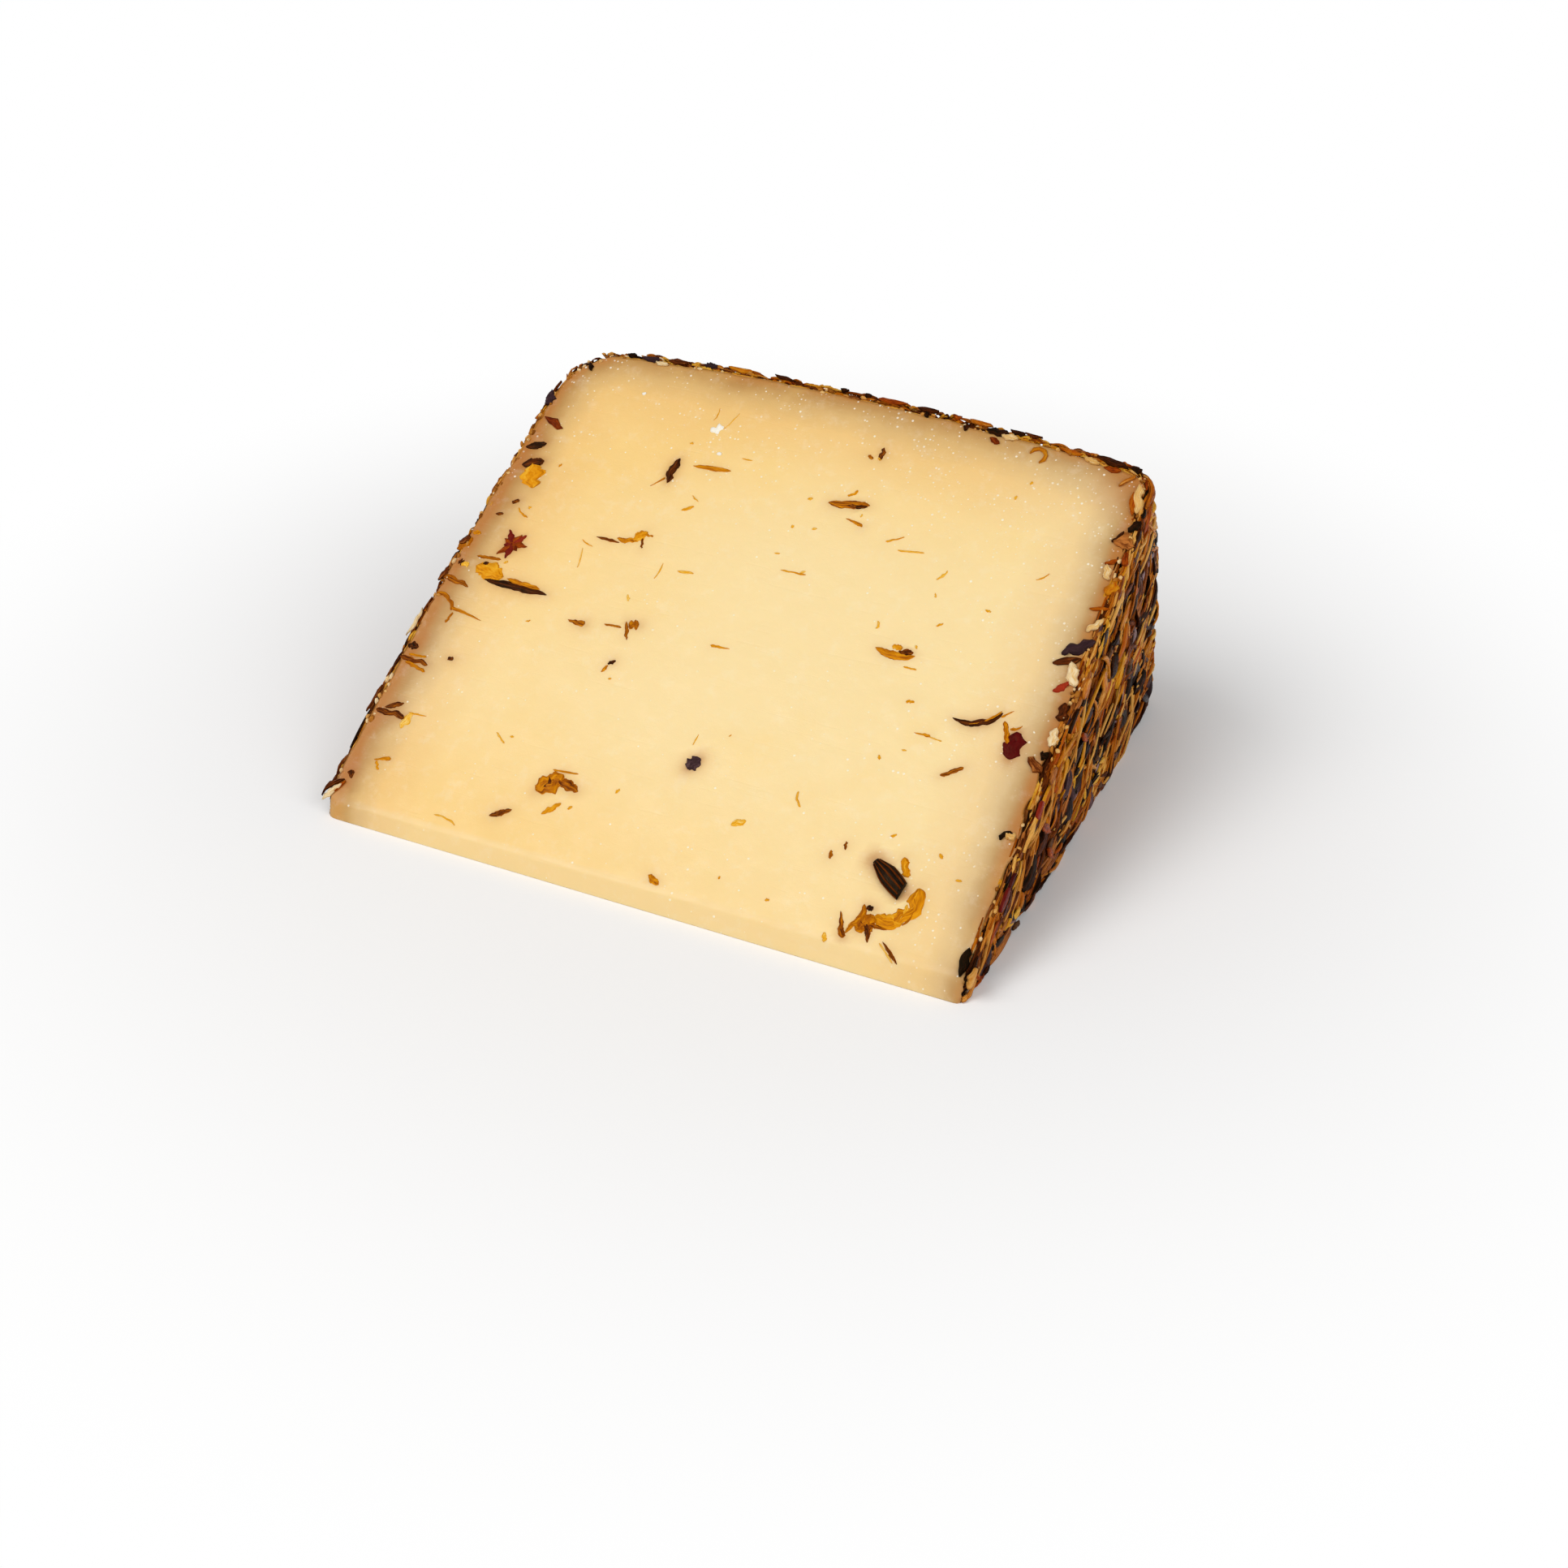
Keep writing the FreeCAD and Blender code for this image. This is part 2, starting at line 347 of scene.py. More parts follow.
def makePasteMaterial():
    material, tree, shader = nodeMaterial("paste")
    position = objectPlace(tree)
    depth = attributeNode(tree, "rindDepth")
    for scale, detail, reach in pasteLook["wander"]:
        depth = mathNode(tree, "MULTIPLY_ADD", noiseNode(tree, position, scale, detail), reach, depth)
    depth = mathNode(tree, "SUBTRACT", depth, sum(row[2] for row in pasteLook["wander"]) / 2)
    span = pasteLook["depths"][-1][0]
    scaled = mathNode(tree, "DIVIDE", depth, span, clamp=True)
    colour = rampNode(tree, scaled, [(d / span, c) for d, c in pasteLook["depths"]])
    colour = mixNode(tree, attributeNode(tree, "warm"), colour, pasteLook["warm"], "MULTIPLY")
    for name, scale, detail, rough, low, high, strength in pasteLook["mottles"]:
        patches = rangeNode(tree, noiseNode(tree, position, scale, detail, rough), low, high, 0.0, strength)
        colour = mixNode(tree, patches, colour, pasteLook[name])
    # mixes in the brown of the stains and of the painted shade on the tip facet
    colour = mixNode(tree, attributeNode(tree, "stainAndShade"), colour, pasteLook["stainAndShade"])
    # white specks, each a cell of its own, thick in the upper band and on the right
    cells = addNode(tree, "TexVoronoi", {"Scale": pasteLook["speckCells"], "Vector": position})
    pick = addNode(tree, "SeparateColor", {"Color": cells.outputs["Color"]})
    herds = rangeNode(tree, noiseNode(tree, position, 110.0, 2.0), 0.36, 0.62, 0.25, 1.3)
    crowd = mathNode(tree, "MULTIPLY", attributeNode(tree, "specks"), herds)
    chosen = mathNode(tree, "LESS_THAN", pick.outputs["Red"], crowd)
    size = mathNode(tree, "MULTIPLY_ADD", pick.outputs["Green"], *pasteLook["speckSize"])
    near = mathNode(tree, "SUBTRACT", size, cells.outputs["Distance"])
    speck = mathNode(tree, "MULTIPLY", rangeNode(tree, near, 0.0, 0.12), chosen)
    strong = mathNode(tree, "MULTIPLY_ADD", pick.outputs["Blue"], *pasteLook["speckStrength"])
    colour = mixNode(tree, mathNode(tree, "MULTIPLY", speck, strong), colour, pasteLook["speck"])
    turn = (0.0, 0.0, math.radians(pasteLook["scratchTurn"]))
    mapping = {"Vector": position, "Rotation": turn, "Scale": pasteLook["scratches"]}
    stretched = addNode(tree, "Mapping", mapping).outputs["Vector"]
    scratches = rangeNode(tree, noiseNode(tree, stretched, 1.0, 2.0), 0.62, 0.75)
    height = mathNode(tree, "MULTIPLY_ADD", scratches, -0.25, noiseNode(tree, position, 900.0, 5.0, 0.6))
    height = mathNode(tree, "MULTIPLY_ADD", speck, 0.5, height)
    fine = bumpNode(tree, height, 0.35, 0.00012)
    setInputs(tree, shader, {
        "Base Color": colour,
        "Subsurface Weight": pasteLook["glow"],
        "Subsurface Radius": (1.0, 0.72, 0.4),
        "Subsurface Scale": pasteLook["glowReach"],
        "Roughness": rangeNode(tree, noiseNode(tree, position, 300.0, 3.0), 0.3, 0.7, 0.36, 0.52),
        "Specular IOR Level": 0.35,
        "Normal": bumpNode(tree, noiseNode(tree, position, 120.0, 3.0), 0.3, 0.0006, Normal=fine),
    })
    return material


def makeFibreGroup():
    # dried herb: a colour by the piece's own tint, streaked along its length
    group = bpy.data.node_groups.new("fibre", "ShaderNodeTree")
    for name, way in (("Contrast", "INPUT"), ("Shade", "OUTPUT"), ("Height", "OUTPUT")):
        group.interface.new_socket(name, in_out=way, socket_type="NodeSocketFloat")
    source = group.nodes.new("NodeGroupInput")
    target = group.nodes.new("NodeGroupOutput")
    uv = addNode(group, "UVMap", uv_map="along")
    split = addNode(group, "SeparateXYZ", {0: uv.outputs["UV"]})
    tint = attributeNode(group, "tint")
    joined = addNode(group, "CombineXYZ", {
        "X": mathNode(group, "MULTIPLY", split.outputs["X"], 9.0),
        "Y": mathNode(group, "MULTIPLY", split.outputs["Y"], 1.4),
        "Z": mathNode(group, "MULTIPLY", tint, 61.0),
    })
    streaks = noiseNode(group, joined.outputs[0], 1.6, 4.0, 0.65)
    centred = mathNode(group, "SUBTRACT", streaks, 0.5)
    swung = mathNode(group, "MULTIPLY", centred, source.outputs["Contrast"])
    shade = mathNode(group, "ADD", tint, swung, clamp=True)
    setInputs(group, target, {"Shade": shade, "Height": streaks})
    return group


def makeFibreMaterial(fibreGroup, name, stops, contrast, roughness, bump):
    material, tree, shader = nodeMaterial(name)
    fibre = addNode(tree, "Group", node_tree=fibreGroup)
    fibre.inputs["Contrast"].default_value = contrast
    worn = noiseNode(tree, objectPlace(tree), 900.0, 2.0)
    setInputs(tree, shader, {
        "Base Color": rampNode(tree, fibre.outputs["Shade"], stops),
        "Roughness": rangeNode(tree, worn, 0.3, 0.7, roughness - 0.12, roughness + 0.14),
        "Specular IOR Level": 0.1,
        "Specular Tint": srgb(255, 214, 150),
        "Normal": bumpNode(tree, fibre.outputs["Height"], bump, 0.00025),
    })
    return material


skinLook = {
    "pale": (232, 164, 56),
    "amber": (172, 94, 18),
    "deep": (26, 12, 5),
}


def makeSkinMaterial():
    material, tree, shader = nodeMaterial("rindSkin")
    position = objectPlace(tree)
    patches = noiseNode(tree, position, 330.0, 5.0, 0.65, 0.4)
    swung = mathNode(tree, "MULTIPLY", mathNode(tree, "SUBTRACT", patches, 0.5), 1.5)
    value = mathNode(tree, "ADD", swung, attributeNode(tree, "darkness"))
    stops = ((0.0, skinLook["pale"]), (0.4, skinLook["amber"]), (1.0, skinLook["deep"]))
    setInputs(tree, shader, {
        "Base Color": rampNode(tree, value, stops),
        "Roughness": rangeNode(tree, patches, 0.3, 0.7, 0.45, 0.75),
        "Specular IOR Level": 0.2,
        "Normal": bumpNode(tree, noiseNode(tree, position, 800.0, 5.0, 0.7), 0.7, 0.0005),
    })
    return material


# Material name, colours from dark to pale, streak contrast, roughness and bump
herbLooks = {
    "straw": ("strawFibre", (
        (0.0, (78, 28, 2)), (0.3, (146, 66, 5)), (0.6, (194, 106, 14)), (1.0, (238, 178, 88))),
        1.5, 0.34, 0.9),
    "leaf": ("darkLeaf", (
        (0.0, (10, 4, 1)), (0.35, (52, 17, 3)), (0.65, (106, 44, 8)), (1.0, (190, 114, 50))),
        1.6, 0.42, 1.0),
    "petal": ("goldPetal", (
        (0.0, (98, 28, 3)), (0.3, (170, 70, 5)), (0.6, (206, 130, 14)), (1.0, (240, 186, 70))),
        1.2, 0.34, 0.8),
    "seed": ("seedSkin", ((0.0, (10, 6, 5)), (0.5, (40, 24, 16)), (1.0, (104, 64, 34))), 1.0, 0.3, 0.9),
    "crumb": ("rindCrumb", (
        (0.0, (122, 66, 16)), (0.4, (194, 124, 44)), (0.75, (228, 176, 98)), (1.0, (246, 222, 176))),
        0.8, 0.36, 0.5),
    "crust": ("rindCrust", (
        (0.0, (130, 70, 16)), (0.4, (200, 128, 44)), (0.75, (232, 182, 104)), (1.0, (250, 228, 184))),
        0.9, 0.34, 1.0),
    # plum petals: the dark purple and purple-grey are their own colour; the pale grey-pink end, reached by
    # the pale tints and streaks, is painted highlight
    "plum": (
        "plumPetal", ((0.0, (22, 12, 16)), (0.4, (58, 36, 42)), (1.0, (150, 116, 116))), 1.0, 0.26, 0.6),
    "cut": ("cutHerb", (
        (0.0, (32, 11, 3)), (0.2, (98, 40, 5)), (0.4, (170, 90, 4)), (0.6, (224, 142, 6)),
        (0.8, (242, 178, 44)), (1.0, (250, 212, 122))),
        1.1, 0.4, 0.5),
    "chip": ("milkChip", ((0.0, (246, 232, 200)), (1.0, (255, 252, 242))), 0.6, 0.4, 0.5),
    "red": ("redPetal", ((0.0, (38, 3, 5)), (0.5, (92, 8, 12)), (1.0, (164, 48, 24))), 0.8, 0.3, 0.6),
}
fibreGroup = makeFibreGroup()
pasteMaterial = makePasteMaterial()
skinMaterial = makeSkinMaterial()
herbMaterials = {kind: makeFibreMaterial(fibreGroup, *look) for kind, look in herbLooks.items()}
print("materials made:", len(bpy.data.materials))


# Paste: the cheese itself, inside its rind
paste = {
    "across": 168,
    "out": 150,
    "around": 16,
    "coats": (0.65, 0.95, 1.25),  # how deep the rind goes in at the left, the rim and the right
    "uneven": 0.45,
    "unevenShares": (0.35, 0.35, 1.0),
    "unevenReach": 1.6,
    "relief": 0.07,
    "waves": 0.09,  # of that relief, to a mm
    "underGap": 0.04,
    "stainAndShadeSink": 0.1,
    "ridgeRows": 3,  # rows of the grid on either side of the ridge that are smoothed
    "ridgeRounds": 4,
    "stainMarks": 6,  # marks looked up for each place
}


def coatDepth(s, phi):
    # how deep the rind goes in at one place
    amount = rindMix(s, *paste["unevenShares"])
    rough = noise.fractal(Vector((s * 0.22, phi * 20, 3.1)), 0.8, 2.1, 4)
    return rindMix(s, *paste["coats"]) + paste["uneven"] * amount * rough * paste["unevenReach"]


def pasteSides(phi):
    # the section's four lines, all but the tip moved in by the rind
    result = []
    s = 0.0
    for line in sectionSides(phi):
        inset = []
        for k, (point, inward) in enumerate(zip(line, inwardNormals(line))):
            if k:
                s += (point - line[k - 1]).length
            inset.append(point + inward * (coatDepth(s, phi) * (len(result) < 3)))
        result.append(inset)
    left, rim, right, tip = result
    tip[0], tip[-1] = right[-1], left[0]
    return left, rim, right, tip


def squareToSection(left, rim, right, tip, across, out):
    # spreads a grid between four lines
    leftEven = evenPoints(left, out + 1)
    rimEven = evenPoints(rim, across + 1)
    rightEven = evenPoints(right[::-1], out + 1)
    tipEven = evenPoints(tip[::-1], across + 1)

    def place(i, j):
        u, v = i / across, j / out
        sides = leftEven[j] * (1 - u) + rightEven[j] * u + tipEven[i] * (1 - v) + rimEven[i] * v
        corners = leftEven[0] * (1 - u) * (1 - v) + rightEven[0] * u * (1 - v)
        corners += leftEven[-1] * (1 - u) * v + rightEven[-1] * u * v
        return sides - corners
    return place


# Each piece in the cuts has one row: kind, tint from 0 dark to 1 pale, its middle as shares across the cut
# and up it from the tip, heading in degrees (0 across, 90 up), long and wide in mm, and where they aren't
# 0 and leaf, bend in degrees and form; the rows of inPaste leave out the kind, which is cut
inclusions = {
    "inPaste": (
        # upper right
        (0.2, 0.58, 0.895, 95, 2.4, 0.8),
        (0.4, 0.565, 0.885, 150, 1.0, 0.5, 0, "even"),
        (0.38, 0.565, 0.79, 10, 6.4, 1.4),
        (0.12, 0.578, 0.79, 8, 3.2, 0.8),
        (0.62, 0.565, 0.81, 45, 1.8, 0.4, 80, "even"),
        (0.48, 0.585, 0.76, 165, 3.0, 0.7, 20, "thorn"),
        (0.6, 0.655, 0.745, 30, 2.8, 0.4, 10, "thorn"),
        (0.78, 0.685, 0.73, 8, 4.0, 0.25, 0, "even"),
        (0.6, 0.53, 0.645, 2, 4.0, 0.3, 0, "even"),
        (0.82, 0.745, 0.7, 60, 2.2, 0.5, 40),
        (0.8, 0.685, 0.59, 100, 1.4, 0.4, 60),
        (0.72, 0.77, 0.615, 40, 1.1, 0.4),
        (0.62, 0.775, 0.475, 12, 1.2, 0.5, 0, "even"),
        # the beak
        (0.5, 0.725, 0.545, 0, 6.2, 1.3, 40),
        (0.25, 0.74, 0.555, 10, 2.2, 1.1),
        (0.6, 0.725, 0.56, 0, 1.5, 0.8, 0, "even"),
        (0.72, 0.755, 0.53, 0, 2.0, 0.25, 0, "even"),
        # the bent leaf and the red petal's stalk
        (0.1, 0.878, 0.468, 22, 7.6, 1.0, 70),
        (0.55, 0.888, 0.476, 40, 5.0, 0.4, 40, "even"),
        (0.5, 0.912, 0.495, 45, 2.0, 0.4, 0, "thorn"),
        (0.45, 0.92, 0.465, -63, 3.6, 0.7, 0, "even"),
        (0.48, 0.932, 0.475, 30, 1.8, 0.5, 60, "thorn"),
        (0.56, 0.81, 0.427, 182, 2.4, 0.6, 0, "thorn"),
        (0.78, 0.83, 0.425, -5, 2.0, 0.2, 0, "even"),
        (0.36, 0.87, 0.38, 38, 3.4, 0.6, 8, "even"),
        # lower right, round the ribbed seed
        (0.34, 0.757, 0.2, -75, 1.3, 0.6),
        (0.3, 0.772, 0.22, -75, 1.3, 0.5),
        (0.56, 0.862, 0.213, -62, 3.0, 1.0, 0, "even"),
        (0.55, 0.89, 0.14, -125, 9.0, 2.2, -130, "even"),
        (0.6, 0.868, 0.126, 182, 4.0, 1.6, -10),
        (0.42, 0.896, 0.15, -88, 5.0, 0.3, -70, "even"),
        (0.74, 0.885, 0.145, -95, 2.4, 0.8, -30),
        (0.42, 0.832, 0.122, 100, 3.4, 1.8, 0, "thorn"),
        (0.44, 0.84, 0.112, 60, 3.2, 2.6),
        (0.46, 0.825, 0.105, -115, 3.2, 1.3, 10, "thorn"),
        (0.25, 0.848, 0.1, -70, 3.0, 1.3, 0, "thorn"),
        (0.36, 0.858, 0.112, 0, 2.6, 0.9, 0, "thorn"),
        (0.1, 0.84, 0.108, -30, 2.0, 0.9),
        (0.02, 0.838, 0.137, -10, 0.9, 0.7, 0, "even"),
        (0.32, 0.81, 0.1, 114, 3.9, 1.1, 0, "thorn"),
        (0.28, 0.887, 0.08, -40, 3.8, 0.5, -8),
        (0.85, 0.882, 0.078, -40, 3.4, 0.25, -8, "even"),
        (0.78, 0.795, 0.074, -75, 1.4, 0.7),
        (0.74, 0.68, 0.27, -60, 2.6, 0.3, 60, "even"),
        (0.8, 0.615, 0.208, 35, 2.2, 1.2),
        # upper left
        (0.1, 0.275, 0.78, -92, 4.7, 1.3, 24),
        (0.5, 0.262, 0.752, -130, 2.6, 0.35, 0, "thorn"),
        (0.52, 0.335, 0.8, 5, 6.2, 0.85),
        (0.72, 0.328, 0.716, 35, 2.0, 0.6),
        (0.28, 0.23, 0.625, 0, 4.0, 0.5),
        (0.5, 0.26, 0.632, 8, 3.4, 0.9, 20),
        (0.6, 0.277, 0.645, 50, 2.6, 1.7),
        (0.28, 0.285, 0.633, -70, 1.8, 0.4, 0, "even"),
        (0.5, 0.29, 0.65, 0, 1.4, 0.4, 0, "even"),
        (0.78, 0.372, 0.6, 5, 2.6, 0.5),
        (0.85, 0.305, 0.53, -60, 1.2, 0.5),
        (0.38, 0.245, 0.465, 178, 2.8, 1.2, 0, "thorn"),
        (0.42, 0.303, 0.475, 3, 2.8, 0.4, 0, "even"),
        (0.34, 0.327, 0.472, -65, 3.2, 0.6),
        (0.4, 0.333, 0.486, 10, 1.6, 1.4, 0, "even"),
        (0.62, 0.475, 0.485, 3, 3.0, 0.55, 0, "thorn"),
        (0.05, 0.328, 0.412, -140, 1.3, 0.6),
        (0.5, 0.322, 0.398, -110, 1.4, 0.5),
        # down the left side
        (0.02, 0.04, 0.77, 25, 3.4, 1.3),
        (0.1, 0.05, 0.735, 25, 3.6, 1.8),
        (0.6, 0.06, 0.71, -60, 4.8, 3.6),
        (0.2, 0.055, 0.655, 40, 1.2, 0.7, 0, "even"),
        (0.6, 0.075, 0.635, -30, 2.6, 0.3, 40, "even"),
        (0.2, 0.04, 0.625, 15, 1.3, 0.6),
        (0.55, 0.02, 0.58, 10, 1.4, 0.8),
        (0.42, 0.01, 0.555, 60, 3.0, 1.4),
        (0.12, 0.02, 0.52, 0, 0.9, 0.8, 0, "even"),
        (0.82, 0.028, 0.518, 0, 1.3, 0.9, 0, "even"),
        (0.4, 0.06, 0.54, 5, 4.0, 0.5, 0, "even"),
        (0.62, 0.072, 0.515, -10, 5.2, 3.0),
        (0.08, 0.06, 0.528, 0, 0.8, 0.7, 0, "even"),
        (0.06, 0.125, 0.5, 0, 11.0, 1.2, -4),
        (0.5, 0.135, 0.508, -4, 6.0, 0.9),
        (0.33, 0.025, 0.485, -8, 5.5, 1.0, -20),
        (0.4, 0.03, 0.45, -30, 5.0, 0.7, -80, "even"),
        (0.48, 0.07, 0.43, -10, 6.0, 0.8, 0, "thorn"),
        (0.42, 0.047, 0.415, -100, 2.0, 0.5, 0, "even"),
        (0.08, 0.015, 0.35, 0, 1.8, 1.2),
        (0.28, 0.028, 0.325, -2, 5.0, 0.8, 0, "even"),
        (0.48, 0.035, 0.315, -12, 4.0, 0.6, 0, "even"),
        (0.55, 0.03, 0.335, 4, 3.0, 0.4, 0, "even"),
        (0.15, 0.083, 0.345, 0, 0.9, 0.6, 0, "even"),
        (0.2, 0.035, 0.24, 28, 3.0, 0.9),
        (0.2, 0.035, 0.225, 0, 5.0, 0.9, 0, "even"),
        (0.84, 0.065, 0.22, -100, 3.0, 1.3),
        (0.72, 0.078, 0.235, 3, 3.0, 0.4, 0, "thorn"),
        (0.55, 0.06, 0.145, 200, 2.6, 0.8, 0, "thorn"),
        (0.65, 0.057, 0.132, -55, 1.6, 0.4, 0, "even"),
        (0.15, 0.025, 0.105, -60, 1.4, 1.2, 0, "thorn"),
        # lower left, with the bud
        (0.45, 0.325, 0.185, 50, 4.6, 3.4),
        (0.1, 0.328, 0.188, 50, 2.8, 2.0),
        (0.36, 0.352, 0.19, -15, 4.0, 1.6),
        (0.55, 0.34, 0.21, 5, 4.0, 0.3, 0, "even"),
        (0.62, 0.345, 0.145, 50, 3.2, 0.9),
        (0.28, 0.275, 0.115, 33, 3.4, 0.9),
        (0.78, 0.22, 0.235, -35, 2.4, 0.3, 0, "even"),
        (0.78, 0.2, 0.08, -10, 4.0, 0.3, -30, "even"),
        (0.5, 0.535, 0.082, -25, 2.2, 1.1),
    ),
    "petals": (
        ("red", 0.4, 0.937, 0.447, -85, 4.3, 2.7, -20),
        ("plum", 0.4, 0.515, 0.282, 60, 2.4, 2.1),
    ),
    "star": {"across": 0.085, "up": 0.575, "rays": 9, "long": 2.4, "wide": 1.5},
    # pieces of the coat that lie over the cut's edge
    "atEdge": (
        # the right edge, from the rim down
        ("crust", 0.75, 0.97, 0.91, -75, 5.0, 1.3),
        ("petal", 0.35, 0.965, 0.9, -75, 4.0, 0.9),
        ("leaf", 0.1, 0.98, 0.86, 60, 2.4, 1.2),
        ("leaf", 0.95, 0.975, 0.83, 0, 3.2, 2.1, -40),
        ("leaf", 0.35, 0.965, 0.835, 60, 2.4, 0.5, 40, "even"),
        ("petal", 0.15, 0.985, 0.8, -80, 2.4, 0.9),
        ("petal", 0.3, 0.968, 0.79, 30, 2.0, 0.6),
        ("crust", 0.8, 0.968, 0.77, -70, 2.6, 1.0),
        ("petal", 0.5, 0.982, 0.745, 70, 2.6, 1.4),
        ("petal", 0.35, 0.977, 0.705, 15, 2.8, 0.6),
        ("crust", 0.8, 0.98, 0.675, 55, 3.0, 0.9),
        ("plum", 0.3, 0.97, 0.632, 38, 5.0, 1.7),
        ("leaf", 0.5, 0.962, 0.605, 25, 4.0, 1.1),
        ("crust", 0.9, 0.977, 0.585, -65, 4.0, 1.5),
        ("red", 1.0, 0.968, 0.56, 50, 2.6, 0.9, 20),
        ("leaf", 0.45, 0.984, 0.52, -85, 2.8, 1.5, 0, "even"),
        ("crust", 0.9, 0.984, 0.475, -88, 3.0, 1.2),
        ("leaf", 0.05, 0.982, 0.443, 0, 1.2, 1.0, 0, "even"),
        ("leaf", 0.7, 0.975, 0.425, -30, 3.0, 1.5),
        ("leaf", 0.0, 0.972, 0.305, 40, 2.2, 0.6, -90, "even"),
        ("crust", 0.7, 0.98, 0.305, 0, 1.4, 1.0, 0, "even"),
        ("leaf", 0.0, 0.986, 0.098, -88, 4.2, 1.2),
        # the rim's edge, from the left
        ("leaf", 0.12, 0.062, 0.945, -60, 1.6, 0.7),
        ("leaf", 0.05, 0.12, 0.985, 10, 1.6, 0.7),
        ("plum", 0.3, 0.155, 0.985, 5, 3.4, 0.8),
        ("crust", 0.9, 0.175, 0.98, 0, 2.2, 0.7),
        ("leaf", 0.55, 0.2, 0.99, 3, 3.4, 0.9),
        ("plum", 0.25, 0.255, 0.995, 0, 2.2, 0.8),
        ("petal", 0.5, 0.305, 1.0, 0, 4.4, 0.8),
        ("leaf", 0.35, 0.38, 1.0, -5, 4.0, 0.5),
        ("leaf", 0.2, 0.48, 1.0, 0, 1.1, 0.8),
        ("leaf", 0.2, 0.52, 1.0, 0, 1.1, 0.8),
        ("petal", 0.25, 0.56, 0.997, 0, 4.6, 0.7),
        ("leaf", 0.4, 0.62, 0.995, 0, 3.6, 0.8),
        ("leaf", 0.15, 0.62, 0.985, -60, 0.9, 0.5, 0, "even"),
        ("petal", 0.2, 0.665, 0.993, -8, 1.6, 0.6),
        ("leaf", 0.3, 0.685, 0.978, -85, 1.5, 0.8),
        ("straw", 0.55, 0.705, 0.99, -5, 4.0, 0.8),
        ("leaf", 0.15, 0.735, 0.98, 0, 3.6, 1.2),
        ("petal", 0.05, 0.735, 0.963, -20, 1.8, 0.8),
        ("crust", 0.8, 0.755, 0.975, 0, 2.6, 0.9),
        ("leaf", 0.3, 0.765, 0.986, -5, 2.4, 0.9),
        ("leaf", 0.55, 0.79, 0.988, -4, 2.8, 1.1),
        ("petal", 0.5, 0.812, 0.962, -35, 5.0, 0.6, -200, "even"),
        ("petal", 0.4, 0.85, 0.972, -6, 3.8, 0.8),
        ("crust", 0.7, 0.885, 0.962, -12, 2.6, 0.8),
        ("leaf", 0.35, 0.915, 0.967, -12, 5.2, 1.0),
        ("petal", 0.25, 0.918, 0.955, 0, 2.6, 0.9),
        ("leaf", 0.25, 0.952, 0.962, -8, 1.6, 0.9),
        ("straw", 0.6, 0.945, 0.94, 50, 3.0, 0.4, 0, "even"),
        # the left edge
        ("plum", 0.35, 0.022, 0.867, 95, 2.6, 1.4),
        ("petal", 0.06, 0.05, 0.82, -20, 4.0, 1.2),
        ("leaf", 0.6, 0.008, 0.56, 60, 2.2, 0.9),
        ("leaf", 0.6, 0.003, 0.49, 80, 3.0, 0.6),
        ("crust", 0.95, 0.0, 0.39, 85, 5.0, 0.5, 20),
        ("leaf", 0.65, 0.0, 0.24, 88, 5.0, 0.4),
        ("leaf", 0.5, 0.003, 0.078, 50, 4.6, 0.6, -40),
        ("crust", 0.95, 0.01, 0.068, 60, 3.6, 0.8, -20),
        ("petal", 0.3, 0.015, 0.075, 60, 3.4, 0.5),
    ),
    "edgeProud": {"leaf": 0.45, "plum": 0.45, "petal": 0.38, "crust": 0.45, "straw": 0.4, "red": 0.3},
    # on the right face: kind, tint, shares up from the tip and from the lower cut to the upper one,
    # heading in degrees (0 towards the rim, 90 up), long and wide in mm, bend in degrees
    "onFace": (
        ("petal", 0.55, 0.66, 0.8, -75, 8.0, 0.7, -60),
        ("petal", 0.5, 0.64, 0.72, -85, 5.0, 1.8, 0),
        ("petal", 0.6, 0.59, 0.79, 180, 10.5, 0.7, 0),
        ("straw", 0.6, 0.57, 0.97, 180, 3.4, 2.4, 0),
        ("leaf", 0.2, 0.51, 0.98, 0, 4.0, 0.9, 0),
        ("petal", 0.55, 0.47, 0.9, -25, 8.0, 0.9, 0),
        ("leaf", 0.85, 0.415, 0.98, 0, 2.6, 1.8, 0),
        ("petal", 0.65, 0.365, 0.98, 0, 6.0, 0.6, 0),
        ("red", 0.75, 0.355, 0.98, 180, 2.8, 2.4, 0),
        ("petal", 0.2, 0.54, 0.67, -65, 3.4, 1.0, 0),
        ("petal", 0.15, 0.365, 0.64, -60, 5.0, 1.2, 0),
        ("petal", 0.2, 0.38, 0.28, -60, 4.0, 1.0, 0),
        ("red", 0.2, 0.235, 0.98, 180, 2.6, 0.9, 0),
        ("red", 0.55, 0.205, 0.97, 180, 3.8, 1.9, 0),
        ("petal", 0.15, 0.155, 0.86, 180, 4.0, 1.3, 0),
        ("crust", 0.5, 0.062, 0.97, 180, 2.4, 1.8, 0),
        ("straw", 0.9, 0.305, 0.98, 0, 4.0, 0.5, 0),
        ("straw", 0.65, 0.75, 0.8, 10, 5.0, 1.2, 0),
        ("petal", 0.6, 0.83, 0.97, 0, 3.4, 0.9, 0),
    ),
    # white chips in the paste: across, up, heading, long, wide
    "chips": ((0.313, 0.876, 35, 2.2, 1.4), (0.335, 0.83, 20, 0.8, 0.6), (0.17, 0.915, 20, 0.7, 0.5)),
    "seedEnds": ((0.82, 0.21), (0.87, 0.175)),
    "seedWide": 2.8,
    "ribs": (22, 56, 90, 124, 158),
    "halo": 0.8,  # how far the stain round a dark piece spreads
    "haloStrength": 0.6,
    "thick": 0.5,
    "proud": 0.12,  # how much of that stands out of the cut
    "dots": 30,  # small amber dots scattered over the upper cut
    "hairs": 9,  # thin pale hairs among them
    "scatterSeed": 5,
    "underneath": 46,  # pieces that show in the lower cut face
}
